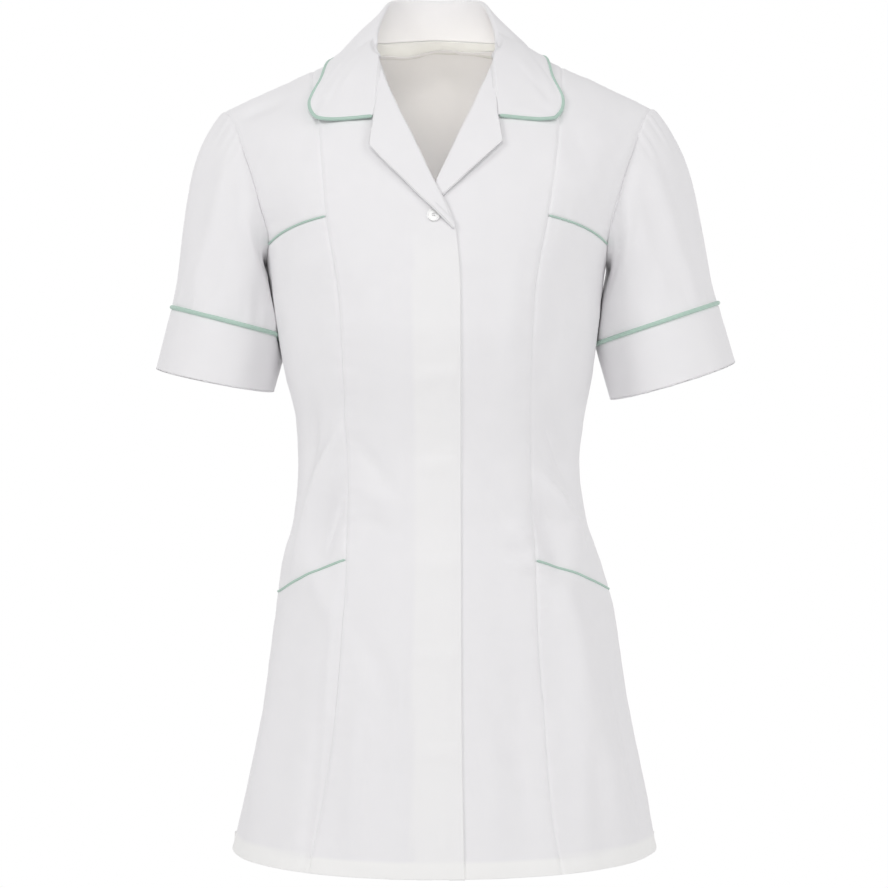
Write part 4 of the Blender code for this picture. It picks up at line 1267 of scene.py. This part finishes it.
def buttonFinish():
    made = Finish("whiteButton", Roughness=0.28, Coat_Weight=0.3)
    place = made.node("ShaderNodeTexCoord", output=3)
    pearl = made.node("ShaderNodeTexNoise", Vector=place, Scale=260.0, Detail=2.0, Distortion=1.2)
    made.feed("Base Color", blend(made, pearl, (0.72, 0.72, 0.71, 1), (0.83, 0.83, 0.82, 1)))
    made.feed("Roughness", pearl * 0.15 + 0.2)
    return made.material


def shirtButton():
    at, out = onBody(np.array([buttonAt[0]]), np.array([buttonAt[1]]), frontFace, 0.0, False)
    seatLift = float(lapLift(*buttonAt)) + outer + button["above"]
    seat, up = Vector(at[0] + out[0] * seatLift), Vector(out[0])
    segments = 48
    bm = bmesh.new()
    bmesh.ops.create_circle(bm, cap_ends=True, segments=segments, radius=button["radius"])
    bmesh.ops.inset_region(bm, faces=bm.faces[:], thickness=button["edge"], depth=0)
    grown = bmesh.ops.extrude_face_region(bm, geom=bm.faces[:])["geom"]
    for vert in (g for g in grown if isinstance(g, bmesh.types.BMVert)):
        atEdge = vert.co.length > button["radius"] - button["edge"] / 2
        vert.co.z += button["height"] - (button["dish"] if atEdge else 0)
    discs = [face for face in bm.faces if len(face.verts) == segments]
    top = max(discs, key=lambda face: face.calc_center_median().z)
    bmesh.ops.inset_region(bm, faces=[top], thickness=button["rim"], depth=0)
    bmesh.ops.inset_region(bm, faces=[top], thickness=button["dish"], depth=-button["dish"])
    bmesh.ops.recalc_face_normals(bm, faces=bm.faces)
    disc = linked("button_disc", meshOf("button_disc", bm))
    cutter = bmesh.new()
    for angle in (pi / 4 + k * 2 * pi / button["holes"] for k in range(button["holes"])):
        made = bmesh.ops.create_cone(
            cutter, cap_ends=True, segments=14, radius1=button["hole"], radius2=button["hole"],
            depth=button["drill"],
        )["verts"]
        away = Vector((cos(angle), sin(angle), 0)) * button["holeOut"]
        bmesh.ops.translate(cutter, verts=made, vec=away)
    cut = linked("button_cut", meshOf("button_cut", cutter))
    drill = disc.modifiers.new("holes", "BOOLEAN")
    drill.object, drill.solver = cut, "EXACT"
    graph = bpy.context.evaluated_depsgraph_get()
    drilled = bpy.data.meshes.new_from_object(disc.evaluated_get(graph))
    bpy.data.objects.remove(cut)
    bpy.data.objects.remove(disc)
    turn = Vector((0, 0, 1)).rotation_difference(up).to_matrix()
    for vert in drilled.vertices:
        vert.co = turn @ vert.co + seat
    drilled.shade_smooth()
    drilled.set_sharp_from_angle(angle=radians(35))
    drilled.materials.clear()
    drilled.materials.append(buttonFinish())
    return finish(linked("button_shown", drilled), "white_button", "button")


shirtButton()


# rows of stitches
stitch = {"pitch": 2.6 * mm, "share": 0.78, "radius": 0.2 * mm, "lift": 0.02 * mm, "fromEdge": 1.5 * mm}


def bodyStitches(x, z, face, extra=0.0):
    return onBody(x, z, face, outer + hemRelief(x, z) + extra)


def hemStitches():
    lines = []
    count = 240
    level = body["hem"] + hem["depth"]
    for side, _ in hands:
        start = frontEdgeAt(side, body["hem"]) + side * stitch["fromEdge"]
        x = np.linspace(start, side * princessAt(side, level), count)
        z = hemAt(x) + hem["depth"]
        extra = lapLift(x, z) + flyRelief(x, z) if side == rightHand else 0.0
        lines.append(bodyStitches(x, z, frontFace, extra))
        share = np.linspace(0, 1, count)
        z = hemAt(sidePlace(side, share, body["hem"])) + hem["depth"]
        lines.append(bodyStitches(side * sidePlace(side, share, z), z, frontFace))
    place = np.linspace(-1, 1, 3 * count)
    x = place * backEdgeAt(place, level + 0 * place)
    lines.append(bodyStitches(x, hemAt(x) + hem["depth"], backFace))
    return stitchPiece("stitches_hem", lines)


def flyStitches():
    z = np.linspace(fly["stitchTop"], hemAt(0) + hem["depth"], 400)
    x = fly["stitch"] + 0 * z
    return stitchPiece("stitches_fly", [bodyStitches(x, z, frontFace, lapLift(x, z) + flyRelief(x, z))])


hemStitches()
flyStitches()


# stage, light and camera
stage = {"floor": -1.4, "size": 2.2, "sky": (1.0, 0.995, 1.0, 1), "skyLight": 0.46}
lamps = (  # name, place, aim, size, power, colour
    ("keySoft", (-2.2, -2.0, 1.3), (0, 0, -0.3), 1.0, 26, (1, 1, 1)),
    ("fillSoft", (2.2, -1.9, 0.7), (0, 0, -0.4), 1.2, 16, (1, 1, 1)),
    ("frontSoft", (-0.1, -2.0, 1.0), (0, 0, -0.2), 0.6, 8.5, (1, 1, 1)),
    ("rightSoft", (-2.4, 0.15, -0.3), (-0.2, 0, -0.4), 1.2, 3.4, (1, 1, 1)),
    ("leftSoft", (2.4, 0.15, -0.3), (0.2, 0, -0.4), 1.2, 3.8, (1, 1, 1)),
    ("lowSoft", (0, -1.6, -1.3), (0, 0, -0.5), 0.9, 1.6, (1, 1, 1)),
    ("neckSoft", (0.004, -0.005, -0.048), (0.008, 0.1, -0.03), 0.05, 0.04, (1, 0.95, 0.84)),
    ("backSoft", (-1.2, 2.6, 1.4), (0, 0, -0.35), 2.0, 22, (1, 1, 1)),
    ("backFill", (1.8, 2.2, 0.4), (0, 0, -0.35), 2.0, 12, (1, 1, 1)),
)


def makeStage():
    bm = bmesh.new()
    bmesh.ops.create_circle(bm, cap_ends=True, segments=96, radius=stage["size"])
    bmesh.ops.translate(bm, verts=bm.verts, vec=(0, 0, stage["floor"]))
    paint = Finish("paleFloor", Roughness=0.9)
    place = paint.node("ShaderNodeTexCoord", output=3)
    grain = paint.node("ShaderNodeTexNoise", Vector=place, Scale=180.0)
    paint.feed("Base Color", blend(paint, grain, (0.93, 0.93, 0.93, 1), (0.96, 0.96, 0.96, 1)))
    linked("floor", meshOf("floor", bm, paint.material))
    for name, place, aim, size, power, colour in lamps:
        lamp = bpy.data.lights.new(name, "AREA")
        lamp.shape, lamp.size, lamp.energy, lamp.color = "DISK", size, power, colour
        light = linked(name, lamp)
        light.location = place
        light.visible_camera = False
        light.rotation_euler = (Vector(aim) - Vector(place)).to_track_quat("-Z", "Y").to_euler()
    world = bpy.data.worlds.new("studio")
    world.use_nodes = True
    tree = world.node_tree
    lightSky = tree.nodes["Background"]
    lightSky.inputs["Color"].default_value = stage["sky"]
    lightSky.inputs["Strength"].default_value = stage["skyLight"]
    seenSky = tree.nodes.new("ShaderNodeBackground")
    seenSky.inputs["Color"].default_value = (1, 1, 1, 1)
    path = tree.nodes.new("ShaderNodeLightPath")
    choose = tree.nodes.new("ShaderNodeMixShader")
    tree.links.new(path.outputs["Is Camera Ray"], choose.inputs[0])
    tree.links.new(lightSky.outputs[0], choose.inputs[1])
    tree.links.new(seenSky.outputs[0], choose.inputs[2])
    tree.links.new(choose.outputs[0], tree.nodes["World Output"].inputs["Surface"])
    bpy.context.scene.world = world


view = {"place": (0.00495, -2.0, -0.361), "frame": 888 * 0.9 * mm, "sensor": 36.0}  # 0.9 mm a pixel


def makeCamera():
    lens = bpy.data.cameras.new("camera")
    lens.sensor_width = view["sensor"]
    lens.lens = view["sensor"] * -view["place"][1] / view["frame"]
    camera = linked("camera", lens)
    camera.location = view["place"]
    camera.rotation_euler = (pi / 2, 0, 0)
    bpy.context.scene.camera = camera


makeStage()
makeCamera()
bpy.context.scene.view_settings.view_transform = "Standard"
